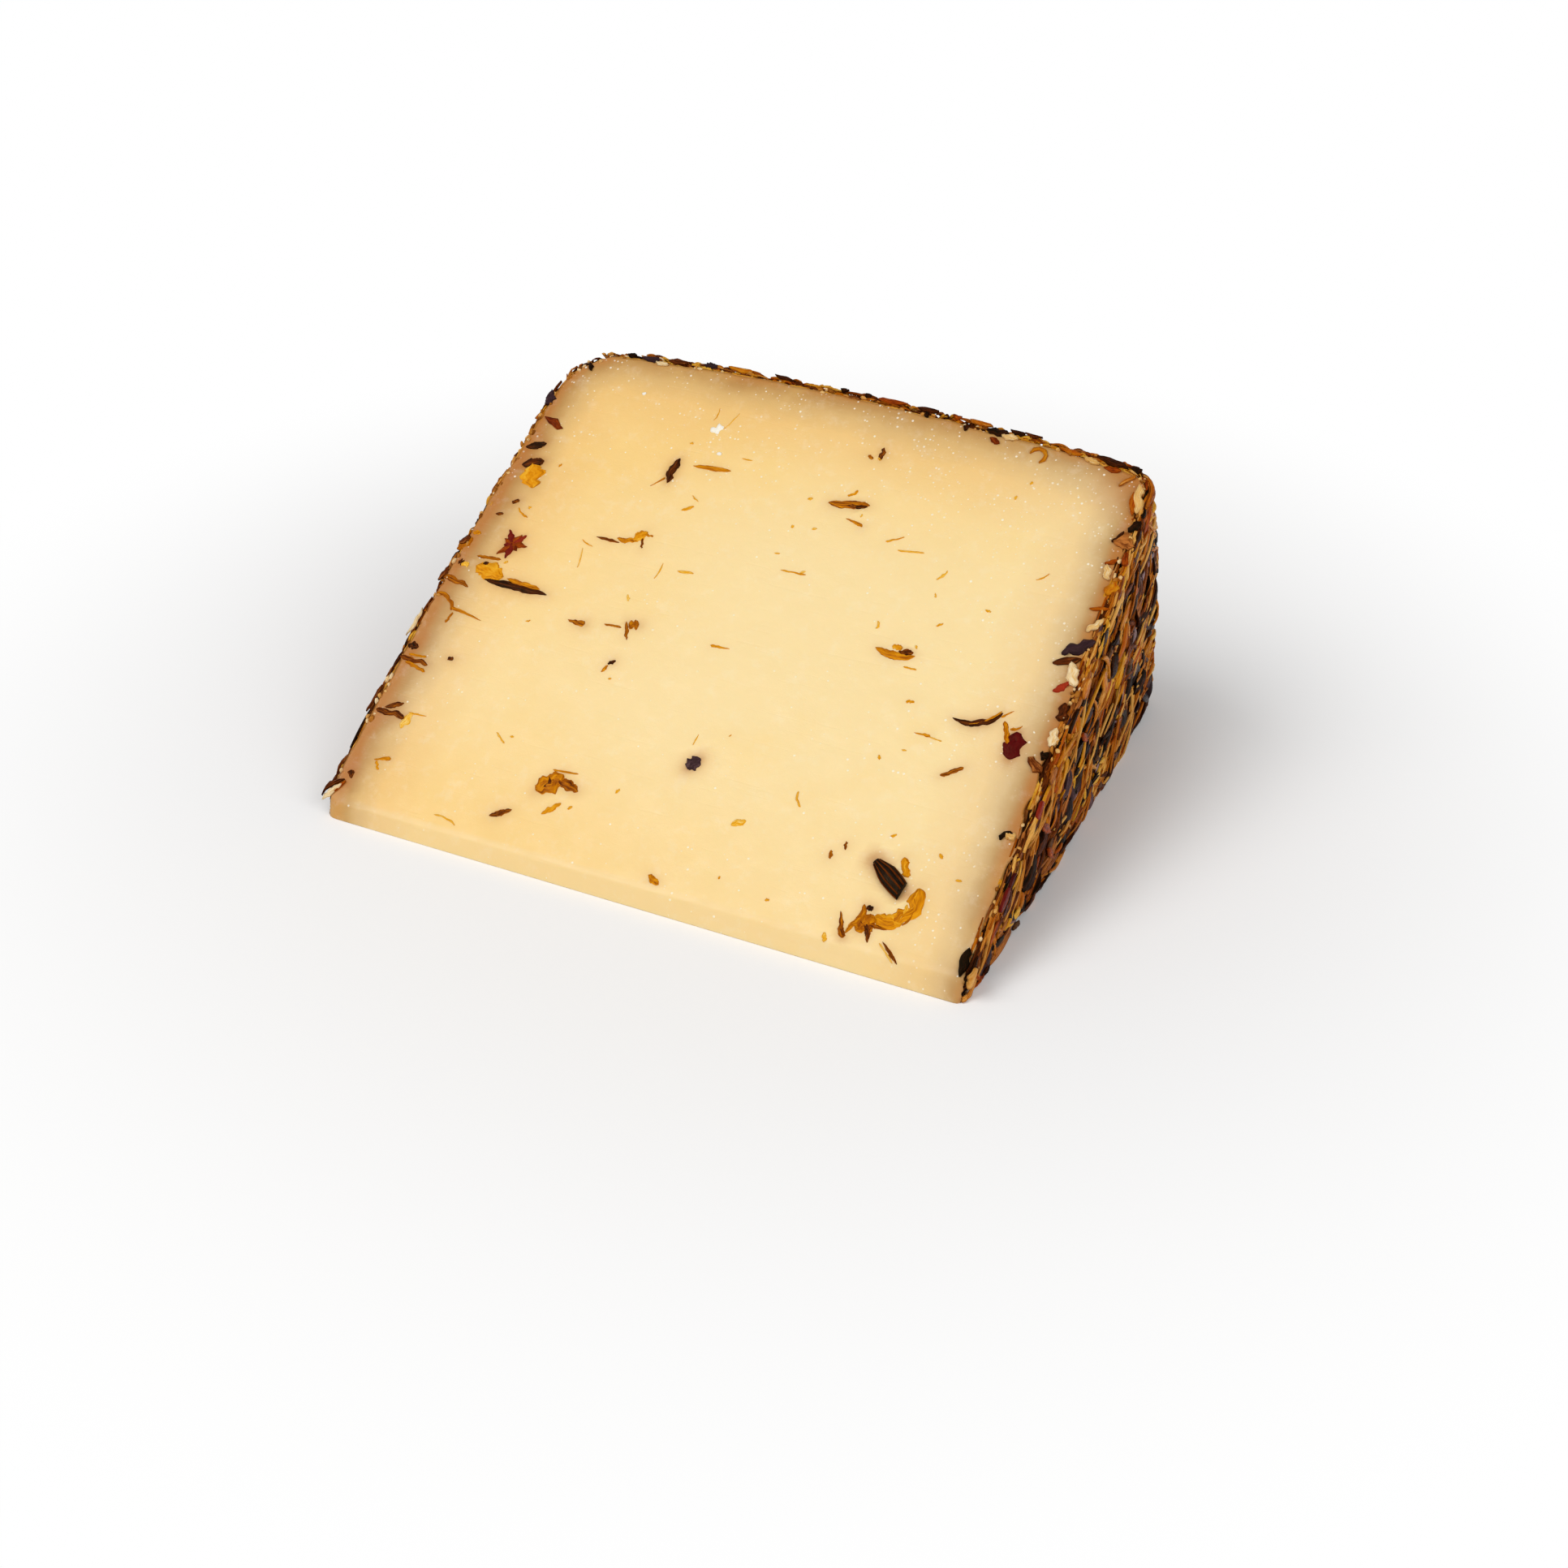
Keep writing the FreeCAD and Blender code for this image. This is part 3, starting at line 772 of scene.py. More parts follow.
forms = {
    "even": lambda t: 1.0,
    "leaf": lambda t: 0.4 + 0.6 * math.sin(math.pi * t),
    "thorn": lambda t: 1.0 - 0.8 * t,
}


def cutPlace(across, up):
    # shares of the part's own box to x and r in mm
    wide = (cadHigh[0] - cadLow[0]) * across
    return Vector(((cadLow[0] + wide) / mm - wheel["midX"], wheel["crown"] * up))


def bentLine(heading, long, bend, steps=8):
    # an evenly bent line with its middle at the origin
    spot, line = Vector((0.0, 0.0)), []
    for k in range(steps + 1):
        line.append(spot.copy())
        turned = math.radians(heading + bend * (k / (steps - 1) - 0.5))
        spot += Vector((math.cos(turned), math.sin(turned))) * (long / steps)
    return [point - line[steps // 2] for point in line]


def cutSpine(middle, heading, long, wide, bend=0, form="leaf"):
    # (x, r, width) along a piece in a cut
    line = bentLine(heading, long, bend)
    return [(middle.x + point.x, middle.y + point.y, wide * forms[form](k / (len(line) - 1)))
            for k, point in enumerate(line)]


def pasteRows():
    # every piece in the upper cut as kind, tint and spine: the placed ones, the star and the scattered bits
    placed = [("cut", *row) for row in inclusions["inPaste"]] + list(inclusions["petals"])
    rows = [(kind, tint, cutSpine(cutPlace(across, up), *shape))
            for kind, tint, across, up, *shape in placed]
    rng = random.Random(inclusions["scatterSeed"])
    star = inclusions["star"]
    for n in range(star["rays"]):
        heading = 360 * n / star["rays"] + rng.uniform(-14, 14)
        long = star["long"] * rng.uniform(0.55, 1.25)
        away = Vector((math.cos(math.radians(heading)), math.sin(math.radians(heading)))) * long * 0.5
        middle = cutPlace(star["across"], star["up"]) + away
        spine = cutSpine(middle, heading, long, star["wide"], 0, "thorn")
        kind, tint = (("petal", 0.05), ("red", 0.6))[n % 2]
        rows.append((kind, tint + rng.uniform(0.0, 0.2), spine))
    for n in range(inclusions["dots"] + inclusions["hairs"]):
        middle = cutPlace(rng.uniform(0.08, 0.94), rng.uniform(0.08, 0.92))
        heading, hair = rng.uniform(0, 180), n >= inclusions["dots"]
        long = rng.uniform(1.6, 3.6) if hair else rng.uniform(0.4, 0.9)
        wide = 0.22 if hair else rng.uniform(0.3, 0.5)
        tint, bend = rng.uniform(0.62, 0.85), rng.uniform(-40, 40)
        rows.append(("cut", tint, cutSpine(middle, heading, long, wide, bend)))
    return rows


def stainTree():
    # where the paste is stained, with the radius and the strength there
    marks = []
    for kind, tint, places in pasteRows():
        strength = min(max(1.5 * (0.75 - tint), 0.0), 1.0) if kind == "cut" else 1.0
        for x, r, width in places:
            marks.append((x, r, width * 0.4, strength * min(width, 1.0)))
    seedStart, seedEnd = (cutPlace(*end) for end in inclusions["seedEnds"])
    for k in range(7):
        spot = seedStart.lerp(seedEnd, k / 6)
        marks.append((spot.x, spot.y, 1.0, 1.0))
    tree = KDTree(len(marks))
    for i, mark in enumerate(marks):
        tree.insert((mark[0], mark[1], 0.0), i)
    tree.balance()
    return tree, marks


# Spans in mm over which the shades of the paste come in, measured up from the tip, across, or from the rind
zones = {
    "waveFromRind": (0.5, 4.0),
    "waveFromTip": (0.0, 2.0),
    "facet": (1.2, 0.2),
    "tipBand": (26, 10),
    "warmTop": (58, 90),
    "warmTopAcross": (48, 20),
    "warmLeft": (5, -52),
    "warmLeftUp": (20, 60),
    "warmLow": (34, 4),
    "warmLowAcross": (30, -20),
    "cornerAcross": (37, 47),
    "cornerUp": (77, 88),
    "edgeFromRind": (3.6, 1.8),
    "edgeUp": (20, 34),
    "speckTop": (62, 84),
    "speckRight": (5, 40),
}
shades = {
    "leftNearer": 0.05,
    "facetFarther": 0.6,
    "rimStart": 1.9,  # the depth shown along the rim, and its rise to a mm
    "rimRise": 0.75,
    "warm": (0.85, 0.5),  # at the top and low down
    "facetPale": 0.7,
    # painted shade: how much the tip facet is browned
    "facetShade": 0.09,
    "cornerStain": 0.8,
    "edgeStain": 0.45,
    "specks": (0.1, 0.65, 0.32),  # everywhere, added at the top and added on the right
}


def inZone(name, value):
    return blendStep(*zones[name], value)


def pasteShades(spot, phi, away, nearS):
    # the depth shown, the warmth, the specks, and the stain together with the painted shade of the tip
    # facet at one place, away mm in from the rind at nearS
    leftSide, rightSide = rindMix(nearS, 1.0, 0.0, 0.0), rindMix(nearS, 0.0, 0.0, 1.0)
    broken = 0.75 + 0.5 * noise.noise(Vector((nearS * 0.09, 0.0, 4.0)))
    topped = rindMix(nearS, 0.0, 1.0, 0.0, 9.0) * broken
    facet = inZone("facet", spot.y - tipRadius(spot.x, phi))
    farther = inZone("tipBand", spot.y) + shades["facetFarther"] * facet
    shown = away * (1 - shades["leftNearer"] * leftSide) + farther * rightSide
    depth = shown + (shades["rimStart"] + shades["rimRise"] * away - shown) * min(topped, 1.0)
    leftward = inZone("warmLeft", spot.x) * (0.3 + 0.7 * inZone("warmLeftUp", spot.y))
    low = 1.6 * inZone("warmLow", spot.y) * (0.4 + 0.6 * inZone("warmLowAcross", spot.x))
    warmTop, warmLow = shades["warm"]
    warm = warmTop * inZone("warmTop", spot.y) * inZone("warmTopAcross", spot.x) + leftward + warmLow * low
    everywhere, top, right = shades["specks"]
    specks = everywhere + top * inZone("speckTop", spot.y) + right * inZone("speckRight", spot.x)
    corner = shades["cornerStain"] * inZone("cornerAcross", spot.x) * inZone("cornerUp", spot.y)
    edge = shades["edgeStain"] * rightSide * inZone("edgeFromRind", away) * inZone("edgeUp", spot.y)
    # painted shade: the tip facet, cut in another plane, is browned a little so that it looks darker than
    # the upper cut
    stainAndShade = shades["facetShade"] * facet
    if phi == sliceAngle:
        stainAndShade = max(corner, edge, stainAndShade)
    return depth, (1 - shades["facetPale"] * facet) * min(warm, 1.0), specks, stainAndShade


def makePaste():
    across, out, around = paste["across"], paste["out"], paste["around"]
    bm = gridBlock(across, out, around)
    # the stain layer holds the real stains and the painted shade of the tip facet
    depthLayer, stainAndShadeLayer, speckLayer, warmLayer = (
        bm.verts.layers.float.new(name) for name in ("rindDepth", "stainAndShade", "specks", "warm"))
    sections = []
    for k in range(around + 1):
        phi = sliceAngle * k / around
        sections.append((phi, squareToSection(*pasteSides(phi), across, out)))
    stains, marks = stainTree()
    ridge = []
    for vert in bm.verts:
        i = round((vert.co.x + 0.5) * across)
        j = round((vert.co.y + 0.5) * out)
        k = round((vert.co.z + 0.5) * around)
        phi, place = sections[k]
        spot = place(i, j)
        nearest, index, away = rindTree.find((spot.x, spot.y, 0.0))
        depth, warm, specks, stainAndShade = pasteShades(spot, phi, away, index / (rindCount - 1) * rindLength)
        lift = 0.0
        if k in (0, around):
            side = 1 if k else -1
            waves = Vector((spot.x * paste["waves"], spot.y * paste["waves"], 5.0 * side))
            inner = inZone("waveFromRind", away) * inZone("waveFromTip", spot.y - tipRadius(spot.x, phi))
            lift = side * paste["relief"] * noise.fractal(waves, 0.9, 2.0, 4) * inner
            if not k:
                lift = paste["underGap"] + abs(lift)
        if k == around:
            halo = 0.0
            for where, index, gap in stains.find_n((spot.x, spot.y, 0.0), paste["stainMarks"]):
                radius, strength = marks[index][2:]
                halo = max(halo, strength * math.exp(-max(gap - radius, 0.0) / inclusions["halo"]))
            stainAndShade = max(inclusions["haloStrength"] * halo, stainAndShade)
        vert[depthLayer], vert[warmLayer], vert[speckLayer], vert[stainAndShadeLayer] = depth, warm, specks, stainAndShade
        # the upper cut sinks a little where it is stained and where the tip facet has its painted shade
        if k == around:
            lift -= paste["stainAndShadeSink"] * vert[stainAndShadeLayer]
        vert.co = wheelPoint(spot.x, spot.y, phi, lift)
        rows = paste["ridgeRows"]
        if j <= rows and k >= around - rows and 2 < i < across - 2:
            ridge.append(vert)
    for n in range(paste["ridgeRounds"]):
        bmesh.ops.smooth_vert(
            bm, verts=ridge, factor=0.5, use_axis_x=True, use_axis_y=True, use_axis_z=True)
    for vert in bm.verts:
        vert.co.z = max(vert.co.z, 0.0)
    bm.normal_update()
    bmesh.ops.recalc_face_normals(bm, faces=bm.faces)
    return newObject("pasteBody", bm, [pasteMaterial])


pasteBody = makePaste()
print("paste made:", len(pasteBody.data.polygons), "faces")


# Rind skin: what the herbs are pressed into
skin = {
    "along": 420,
    "around": 36,
    "overlap": 0.5,  # how far it reaches into the paste
    "sink": (0.45, 0.7, 1.0),  # how far under the outer line it stays on the left, the rim and the right
    "lump": 0.32,
    "cutLift": (-0.1, -0.2, -0.5),  # of its cut edge over the upper cut, and its waves
    "cutWaves": 0.16,
    "darkness": 0.95,
    "cutDarkness": (0.12, 0.0, 0.55),
}


def makeSkin():
    along, around = skin["along"], skin["around"]
    bm = gridBlock(along, 2, around)
    darkLayer = bm.verts.layers.float.new("darkness")
    for vert in bm.verts:
        s = (vert.co.x + 0.5) * rindLength
        k = vert.co.z + 0.5
        phi = sliceAngle * k
        outward = vert.co.y + 0.5
        point, inward = rindAt(s)
        under = rindMix(s, *skin["sink"])
        lump = skin["lump"] * noise.fractal(Vector((s * 0.5, phi * 45, 8.0)), 0.7, 2.2, 4)
        deep = coatDepth(s, phi) + skin["overlap"]
        inset = deep + (max(under - lump, 0.05) - deep) * outward
        spot = point + inward * inset
        spot.y = max(followTip(spot, phi), tipRadius(spot.x, phi) + 0.05)
        lift = 0.0
        if 0.99 < k:
            waves = noise.noise(Vector((s * 1.1, outward * 2, 1.0)))
            lift = rindMix(s, *skin["cutLift"]) + skin["cutWaves"] * waves
        atCut = blendStep(0.93, 1.0, k)
        vert[darkLayer] = skin["darkness"] * (1 - atCut) + rindMix(s, *skin["cutDarkness"]) * atCut
        vert.co = wheelPoint(spot.x, spot.y, phi, lift)
    bm.normal_update()
    bmesh.ops.recalc_face_normals(bm, faces=bm.faces)
    return newObject("rindSkin", bm, [skinMaterial])


rindSkin = makeSkin()
print("rind skin made")


# Herbs: every kind is one mesh of many small pressed pieces
leastR = 4.0  # the smallest r, in mm, that a turn round the axis is worked out with
stripPoints = 33  # along the middle of a strip in a cut or on the right face


def strandTemplate(sides, lengths):
    # a closed tube from z 0 to 1 with a UV map round and along it
    bm = bmesh.new()
    bmesh.ops.create_cone(bm, cap_ends=True, segments=sides, radius1=1.0, radius2=1.0, depth=1.0)
    uprights = [e for e in bm.edges if abs(e.verts[0].co.z - e.verts[1].co.z) > 0.5]
    bmesh.ops.subdivide_edges(bm, edges=uprights, cuts=lengths - 1, use_grid_fill=True)
    bmesh.ops.translate(bm, verts=bm.verts, vec=(0, 0, 0.5))
    uvLayer = bm.loops.layers.uv.new("along")
    bm.verts.layers.float.new("tint")
    for face in bm.faces:
        angles = [math.atan2(loop.vert.co.y, loop.vert.co.x) / math.tau % 1.0 for loop in face.loops]
        wraps = max(angles) - min(angles) > 0.5
        for loop, angle in zip(face.loops, angles):
            loop[uvLayer].uv = (angle + 1.0 if wraps and angle < 0.5 else angle, loop.vert.co.z)
    mesh = bpy.data.meshes.new("strandTemplate")
    bm.to_mesh(mesh)
    bm.free()
    return mesh


def blobTemplate():
    bm = bmesh.new()
    bmesh.ops.create_uvsphere(bm, u_segments=8, v_segments=6, radius=1.0)
    uvLayer = bm.loops.layers.uv.new("along")
    bm.verts.layers.float.new("tint")
    for face in bm.faces:
        for loop in face.loops:
            loop[uvLayer].uv = (math.atan2(loop.vert.co.y, loop.vert.co.x) / math.tau + 0.5, loop.vert.co.z)
    mesh = bpy.data.meshes.new("blobTemplate")
    bm.to_mesh(mesh)
    bm.free()
    return mesh


class Heap:
    # a bmesh that copies of one template are added to, each shaped by a function
    def __init__(self, template):
        self.template = template
        self.size = len(template.vertices)
        self.rest = [v.co.copy() for v in template.vertices]
        self.bm = bmesh.new()
        self.shapes = []

    def add(self, tint, shape):
        self.bm.from_mesh(self.template)
        self.shapes.append((tint, shape))

    def finish(self):
        tintLayer = self.bm.verts.layers.float["tint"]
        self.bm.verts.ensure_lookup_table()
        for n, (tint, shape) in enumerate(self.shapes):
            for i, rest in enumerate(self.rest):
                vert = self.bm.verts[n * self.size + i]
                vert.co = shape(rest)
                vert[tintLayer] = tint
        self.bm.normal_update()
        bmesh.ops.recalc_face_normals(self.bm, faces=self.bm.faces)
        return self.bm


def keepInside(phi, r, room):
    # angle limits that keep a piece between the two cuts
    r = max(r, 3.0)
    least = room / r
    most = sliceAngle - (room - 0.15) / r
    return min(max(phi, least), max(most, least))


def coatStrand(s, phi, heading, long, wide, thick, lift, curl, arch, roll, taper):
    # a strip pressed on the rind; returns a function from a template point to its place
    rings = {}

    def ring(t):
        # where the strip's middle is at t, and which way it runs there
        key = round(t, 4)
        if key not in rings:
            where, angle = s, phi
            steps = max(int(t * 12), 1)
            for k in range(steps):
                turned = heading + curl * t * k / steps
                point = rindAt(where)[0]
                where += math.cos(turned) * long * t / steps
                angle += math.sin(turned) * long * t / steps / max(point.y, leastR)
            angle = keepInside(angle, rindAt(where)[0].y, wide * 0.5)
            rings[key] = (where, angle, heading + curl * t)
        return rings[key]

    def shape(rest):
        t = rest.z
        where, angle, turned = ring(t)
        narrow = (1 - taper) + taper * math.sin(math.pi * min(max(t * 0.9 + 0.05, 0.0), 1.0)) ** 0.7
        rolled = roll * (0.4 + t)
        x, y = rest.x * wide * 0.5 * narrow, rest.y * thick * 0.5 * (0.4 + 0.6 * narrow)
        sideways = x * math.cos(rolled) - y * math.sin(rolled)
        upward = x * math.sin(rolled) + y * math.cos(rolled) + lift + arch * math.sin(math.pi * t)
        point, inward = rindAt(where - math.sin(turned) * sideways)
        angle += math.cos(turned) * sideways / max(point.y, leastR)
        return settle(point - inward * upward, angle)
    return shape


def settle(spot, angle, proud=0.35):
    # keeps a point over the floor, below the upper cut and behind the tip facet
    angle = min(max(angle, 0.0), sliceAngle + proud / max(spot.y, leastR))
    r = followTip(spot, min(angle, sliceAngle))
    low = tipRadius(spot.x, min(angle, sliceAngle)) + 0.1
    place = wheelPoint(spot.x, max(r, low), angle)
    place.z = max(place.z, 0.00003)
    return place


def coatSpot(rng, zone):
    # an even spread over one face of the rind, or along one of its upper edges
    phi = rng.uniform(0.0, sliceAngle)
    if zone == "rim":
        return rng.uniform(leftMark - 4, rightMark + 2), phi
    r = 3 + 86 * math.sqrt(rng.uniform(0.0, 1.0))
    if zone.endswith("Edge"):
        r = rng.uniform(5, 88)
        phi = sliceAngle - abs(rng.gauss(0, coat["edgeBand"])) / r
    if zone == "rimEdge":
        low, high = coat["rimSpan"]
        share = (rng.uniform(*rng.choice(coat["rimCrowds"])) - low) / (high - low)
        return leftMark + share * (rightMark - leftMark), sliceAngle - abs(rng.gauss(0, 0.7)) / 91
    if zone.startswith("left"):
        return r - wheel["tipFoot"][0], phi
    return rindLength - (r - wheel["tipFoot"][1]), phi


coat = {
    # where, the lean in degrees, and rows of clumps there: kind, clumps, pieces in each, long, wide, thick,
    # lift, tint, and how far the lean wanders
    "zones": (
        ("right", 20, (
            ("leaf", 130, 3, (3.0, 8.0), (1.2, 2.4), (0.3, 0.6), (-1.4, -0.8), (0.0, 0.6), 30),
            ("leaf", 95, 6, (3.5, 9.0), (0.5, 1.2), (0.3, 0.5), (-1.0, -0.2), (0.05, 0.95), 26),
            ("straw", 95, 6, (3.5, 10.0), (0.35, 0.9), (0.3, 0.5), (-0.9, -0.15), (0.05, 0.95), 26),
            ("petal", 80, 3, (2.0, 6.0), (0.5, 1.4), (0.25, 0.5), (-0.6, 0.0), (0.15, 0.85), 30),
            ("plum", 46, 2, (2.5, 6.0), (0.8, 2.0), (0.3, 0.5), (-0.6, -0.1), (0.0, 0.9), 34),
            ("leaf", 70, 2, (2.5, 6.0), (0.9, 2.2), (0.25, 0.5), (-0.45, 0.0), (0.0, 0.4), 34),
            ("straw", 60, 2, (4.0, 11.0), (0.35, 0.65), (0.3, 0.5), (-0.25, 0.2), (0.45, 1.0), 34))),
        ("rightEdge", 8, (
            ("leaf", 46, 3, (2.0, 6.0), (0.6, 1.8), (0.3, 0.7), (-1.5, 0.1), (0.0, 0.9), 22),
            ("straw", 40, 3, (2.0, 7.0), (0.4, 1.0), (0.3, 0.6), (-1.4, 0.2), (0.2, 1.0), 22),
            ("petal", 34, 2, (1.5, 5.0), (0.5, 1.4), (0.3, 0.6), (-1.5, 0.1), (0.1, 0.9), 26))),
        ("rim", 90, (
            ("rimLeaf", 230, 4, (4.0, 9.0), (1.0, 2.1), (0.3, 0.5), (-0.65, -0.3), (0.2, 0.85), 90),
            ("rimLeaf", 150, 5, (3.0, 8.0), (0.6, 1.3), (0.3, 0.4), (-0.45, 0.0), (0.15, 0.95), 90),
            ("rimStraw", 160, 6, (3.0, 9.0), (0.4, 0.8), (0.3, 0.4), (-0.35, 0.1), (0.1, 0.85), 90),
            ("rimPetal", 90, 3, (2.0, 5.5), (0.6, 1.4), (0.25, 0.35), (-0.3, 0.05), (0.1, 0.8), 90))),
        ("left", 20, (
            ("rimLeaf", 105, 4, (4.0, 9.0), (1.0, 2.1), (0.3, 0.5), (-0.55, -0.25), (0.25, 0.9), 60),
            ("rimLeaf", 75, 5, (3.0, 8.0), (0.6, 1.3), (0.3, 0.4), (-0.4, 0.0), (0.15, 0.95), 60),
            ("rimStraw", 80, 6, (3.0, 9.0), (0.4, 0.8), (0.3, 0.4), (-0.35, 0.1), (0.1, 0.85), 60),
            ("rimPetal", 45, 3, (2.0, 5.5), (0.6, 1.4), (0.25, 0.35), (-0.3, 0.05), (0.1, 0.8), 60))),
        ("rimEdge", 0, (
            ("leaf", 34, 3, (0.8, 2.8), (0.35, 0.9), (0.25, 0.5), (-0.9, 0.0), (0.5, 1.0), 24),
            ("petal", 84, 3, (0.8, 2.8), (0.35, 0.9), (0.25, 0.5), (-0.9, 0.05), (0.3, 1.0), 24),
            ("straw", 30, 3, (1.0, 3.5), (0.3, 0.6), (0.25, 0.4), (-0.7, 0.1), (0.1, 0.8), 24))),
        ("leftEdge", 0, (
            ("leaf", 26, 2, (0.8, 2.6), (0.3, 0.5), (0.2, 0.4), (-0.7, -0.15), (0.6, 1.0), 18),
            ("petal", 24, 2, (0.8, 2.6), (0.3, 0.6), (0.2, 0.4), (-0.7, -0.15), (0.4, 1.0), 18))),
    ),
    "edgeBand": 0.8,
    "rimSpan": (-50.6, 50.6),
    "rimCrowds": ((-39, -19), (-18, 16), (16, 50), (24, 51)),  # where pieces crowd along the rim's edge
    "clumpSpread": 1.1,
    "edgeSpread": 0.6,
    "seeds": 90,
    "crumbs": 460,
    "crumbsAtEdge": 0.75,
    "seed": 11,
}


def faceSpine(up, high, heading, long, wide, bend):
    # (r, degrees, width) along a piece on the right face
    r, degrees = up * wheel["crown"], high * wheel["slice"]
    line = bentLine(heading, long, bend)
    return [(r + point.x, min(degrees + math.degrees(point.y / r), wheel["slice"] - 0.2),
             wide * forms["leaf"](k / (len(line) - 1))) for k, point in enumerate(line)]


def stripPlace(line, share):
    # the place and width at a share of a strip's length, and the points round it that give its direction
    t = share * (stripPoints - 1)
    k = min(int(t), stripPoints - 2)
    return line[k].lerp(line[k + 1], t - k), line[min(k + 2, stripPoints - 1)], line[max(k - 1, 0)]


def stripEnds(share, least):
    # narrows a strip at both ends
    return math.sqrt(max(1 - abs(2 * share - 1) ** 6, 0.0)) * (1 - least) + least


def faceStrip(places, thick, lift):
    # a strip on the right face along places given as (r, degrees, width)
    line = evenPoints([Vector(p) for p in places], stripPoints)

    def shape(rest):
        (r, degrees, width), ahead, behind = stripPlace(line, rest.z)
        along = Vector((ahead.x - behind.x, math.radians(ahead.y - behind.y) * r)).normalized()
        across = rest.x * 0.65 * width * stripEnds(rest.z, 0.3)
        point, inward = rindAt(rindLength - (r - along.y * across - wheel["tipFoot"][1]))
        angle = math.radians(degrees) + along.x * across / r
        return settle(point - inward * (lift + thick * 0.5 * rest.y), angle, 0.6)
    return shape


def topPoint(x, r, lift):
    # a place on the upper cut, or down the tip facet where r runs off the cut
    ridge = tipRadius(x, sliceAngle)
    if r >= ridge:
        return wheelPoint(x, r, sliceAngle, lift)
    lean = math.radians(wheel["tipLean"])
    y = ridge * math.cos(sliceAngle) - math.sin(lean) * (ridge - r) - math.cos(lean) * lift
    z = ridge * math.sin(sliceAngle) - math.cos(lean) * (ridge - r) + math.sin(lean) * lift
    return wheelPoint(x, math.hypot(y, z), math.atan2(max(z, 0.0), y))


def cutStrip(places, phi, thick, proud):
    # a torn strip that lies in a cut face along the places given, each (x, r, width)
    line = evenPoints([Vector(p) for p in places], stripPoints)
    grain = places[0][0] * 3.7 + places[0][1]

    def shape(rest):
        centre, ahead, behind = stripPlace(line, rest.z)
        along = Vector((ahead.x - behind.x, ahead.y - behind.y)).normalized()
        torn = 1 + 0.55 * noise.fractal(Vector((rest.z * 5 + grain, rest.x * 3, 2.0)), 0.7, 2.2, 3)
        wander = 0.35 * noise.noise(Vector((rest.z * 3.5 + grain, 7.0, 0.0)))
        aside = (rest.x * 0.62 * stripEnds(rest.z, 0.25) * torn + wander) * centre.z
        spot = Vector((centre.x, centre.y)) + Vector((-along.y, along.x)) * aside
        depth = min(thick, 0.3 + 0.5 * centre.z)
        ripple = 0.05 * noise.noise(Vector((spot.x * 2, spot.y * 2, 6.0)))
        lift = proud + depth * 0.5 * (rest.y - 1) + ripple
        if not phi:
            return wheelPoint(spot.x, spot.y, phi, max(-lift, 0.01))
        near, index, gap = rindTree.find((spot.x, spot.y, 0.0))
        toward = rindInward[min(index, rindCount - 1)]
        if (spot - Vector(near.xy)).dot(toward) < 0:
            spot = Vector(near.xy) - toward * min(gap, 0.4)
        return topPoint(spot.x, spot.y, lift)
    return shape


# Piece name, material, slot, and the sides and lengths of the strand that it copies, or none for a blob
herbKinds = {
    "straw": ("strawStems", "straw", "herbs", (6, 6)),
    "leaf": ("darkLeaves", "leaf", "herbs", (6, 6)),
    "petal": ("goldPetals", "petal", "herbs", (6, 6)),
    "rimStraw": ("rimStems", "straw", "herbs", (5, 5)),
    "rimLeaf": ("rimLeaves", "leaf", "herbs", (5, 5)),
    "rimPetal": ("rimPetals", "petal", "herbs", (5, 5)),
    "cut": ("cutHerbs", "cut", "herbs", (8, 14)),
    "red": ("redPetals", "red", "herbs", (8, 14)),
    "plum": ("plumPetals", "plum", "herbs", (8, 14)),
    "chip": ("milkChips", "chip", "paste", (8, 14)),
    "seed": ("seeds", "seed", "herbs", None),
    "crumb": ("rindCrumbs", "crumb", "rind", None),
    "crust": ("rindCrust", "crust", "rind", (8, 14)),
    "bigSeed": ("ribbedSeed", "seed", "herbs", (27, 16)),
}


def addClump(heap, rng, zone, lean, count, longs, wides, thicks, lifts, tints, wander):
    spread = coat["edgeSpread"] if zone in ("rimEdge", "leftEdge") else coat["clumpSpread"]
    clumpS, clumpPhi = coatSpot(rng, zone)
    clumpTint, clumpLift = rng.uniform(*tints), rng.uniform(*lifts)
    turned = math.radians(lean + rng.gauss(0, wander))
    clumpHeading = turned if zone == "left" else math.pi - turned
    if zone == "rim":
        clumpHeading = rng.uniform(0, math.tau)
    radius = max(rindAt(clumpS)[0].y, 5.0)
    for k in range(count):
        long = rng.uniform(*longs)
        heading = clumpHeading + rng.gauss(0, 0.16)
        if rng.random() < 0.5:
            heading += math.pi
        s = clumpS - math.cos(heading) * long * 0.5 + rng.gauss(0, spread)
        aside = rng.gauss(0, spread) if spread > 1 else 0.0
        phi = clumpPhi + (aside - math.sin(heading) * long * 0.5) / radius
        tint = min(max(clumpTint + rng.gauss(0, 0.12), 0.0), 1.0)
        wide, thick = rng.uniform(*wides), rng.uniform(*thicks)
        lift, curl = clumpLift + rng.uniform(-0.15, 0.2), rng.gauss(0, 0.5)
        arch, roll, taper = rng.uniform(0.0, 0.35), rng.gauss(0, 0.45), rng.uniform(0.4, 0.9)
        heap.add(tint, coatStrand(s, phi, heading, long, wide, thick, lift, curl, arch, roll, taper))


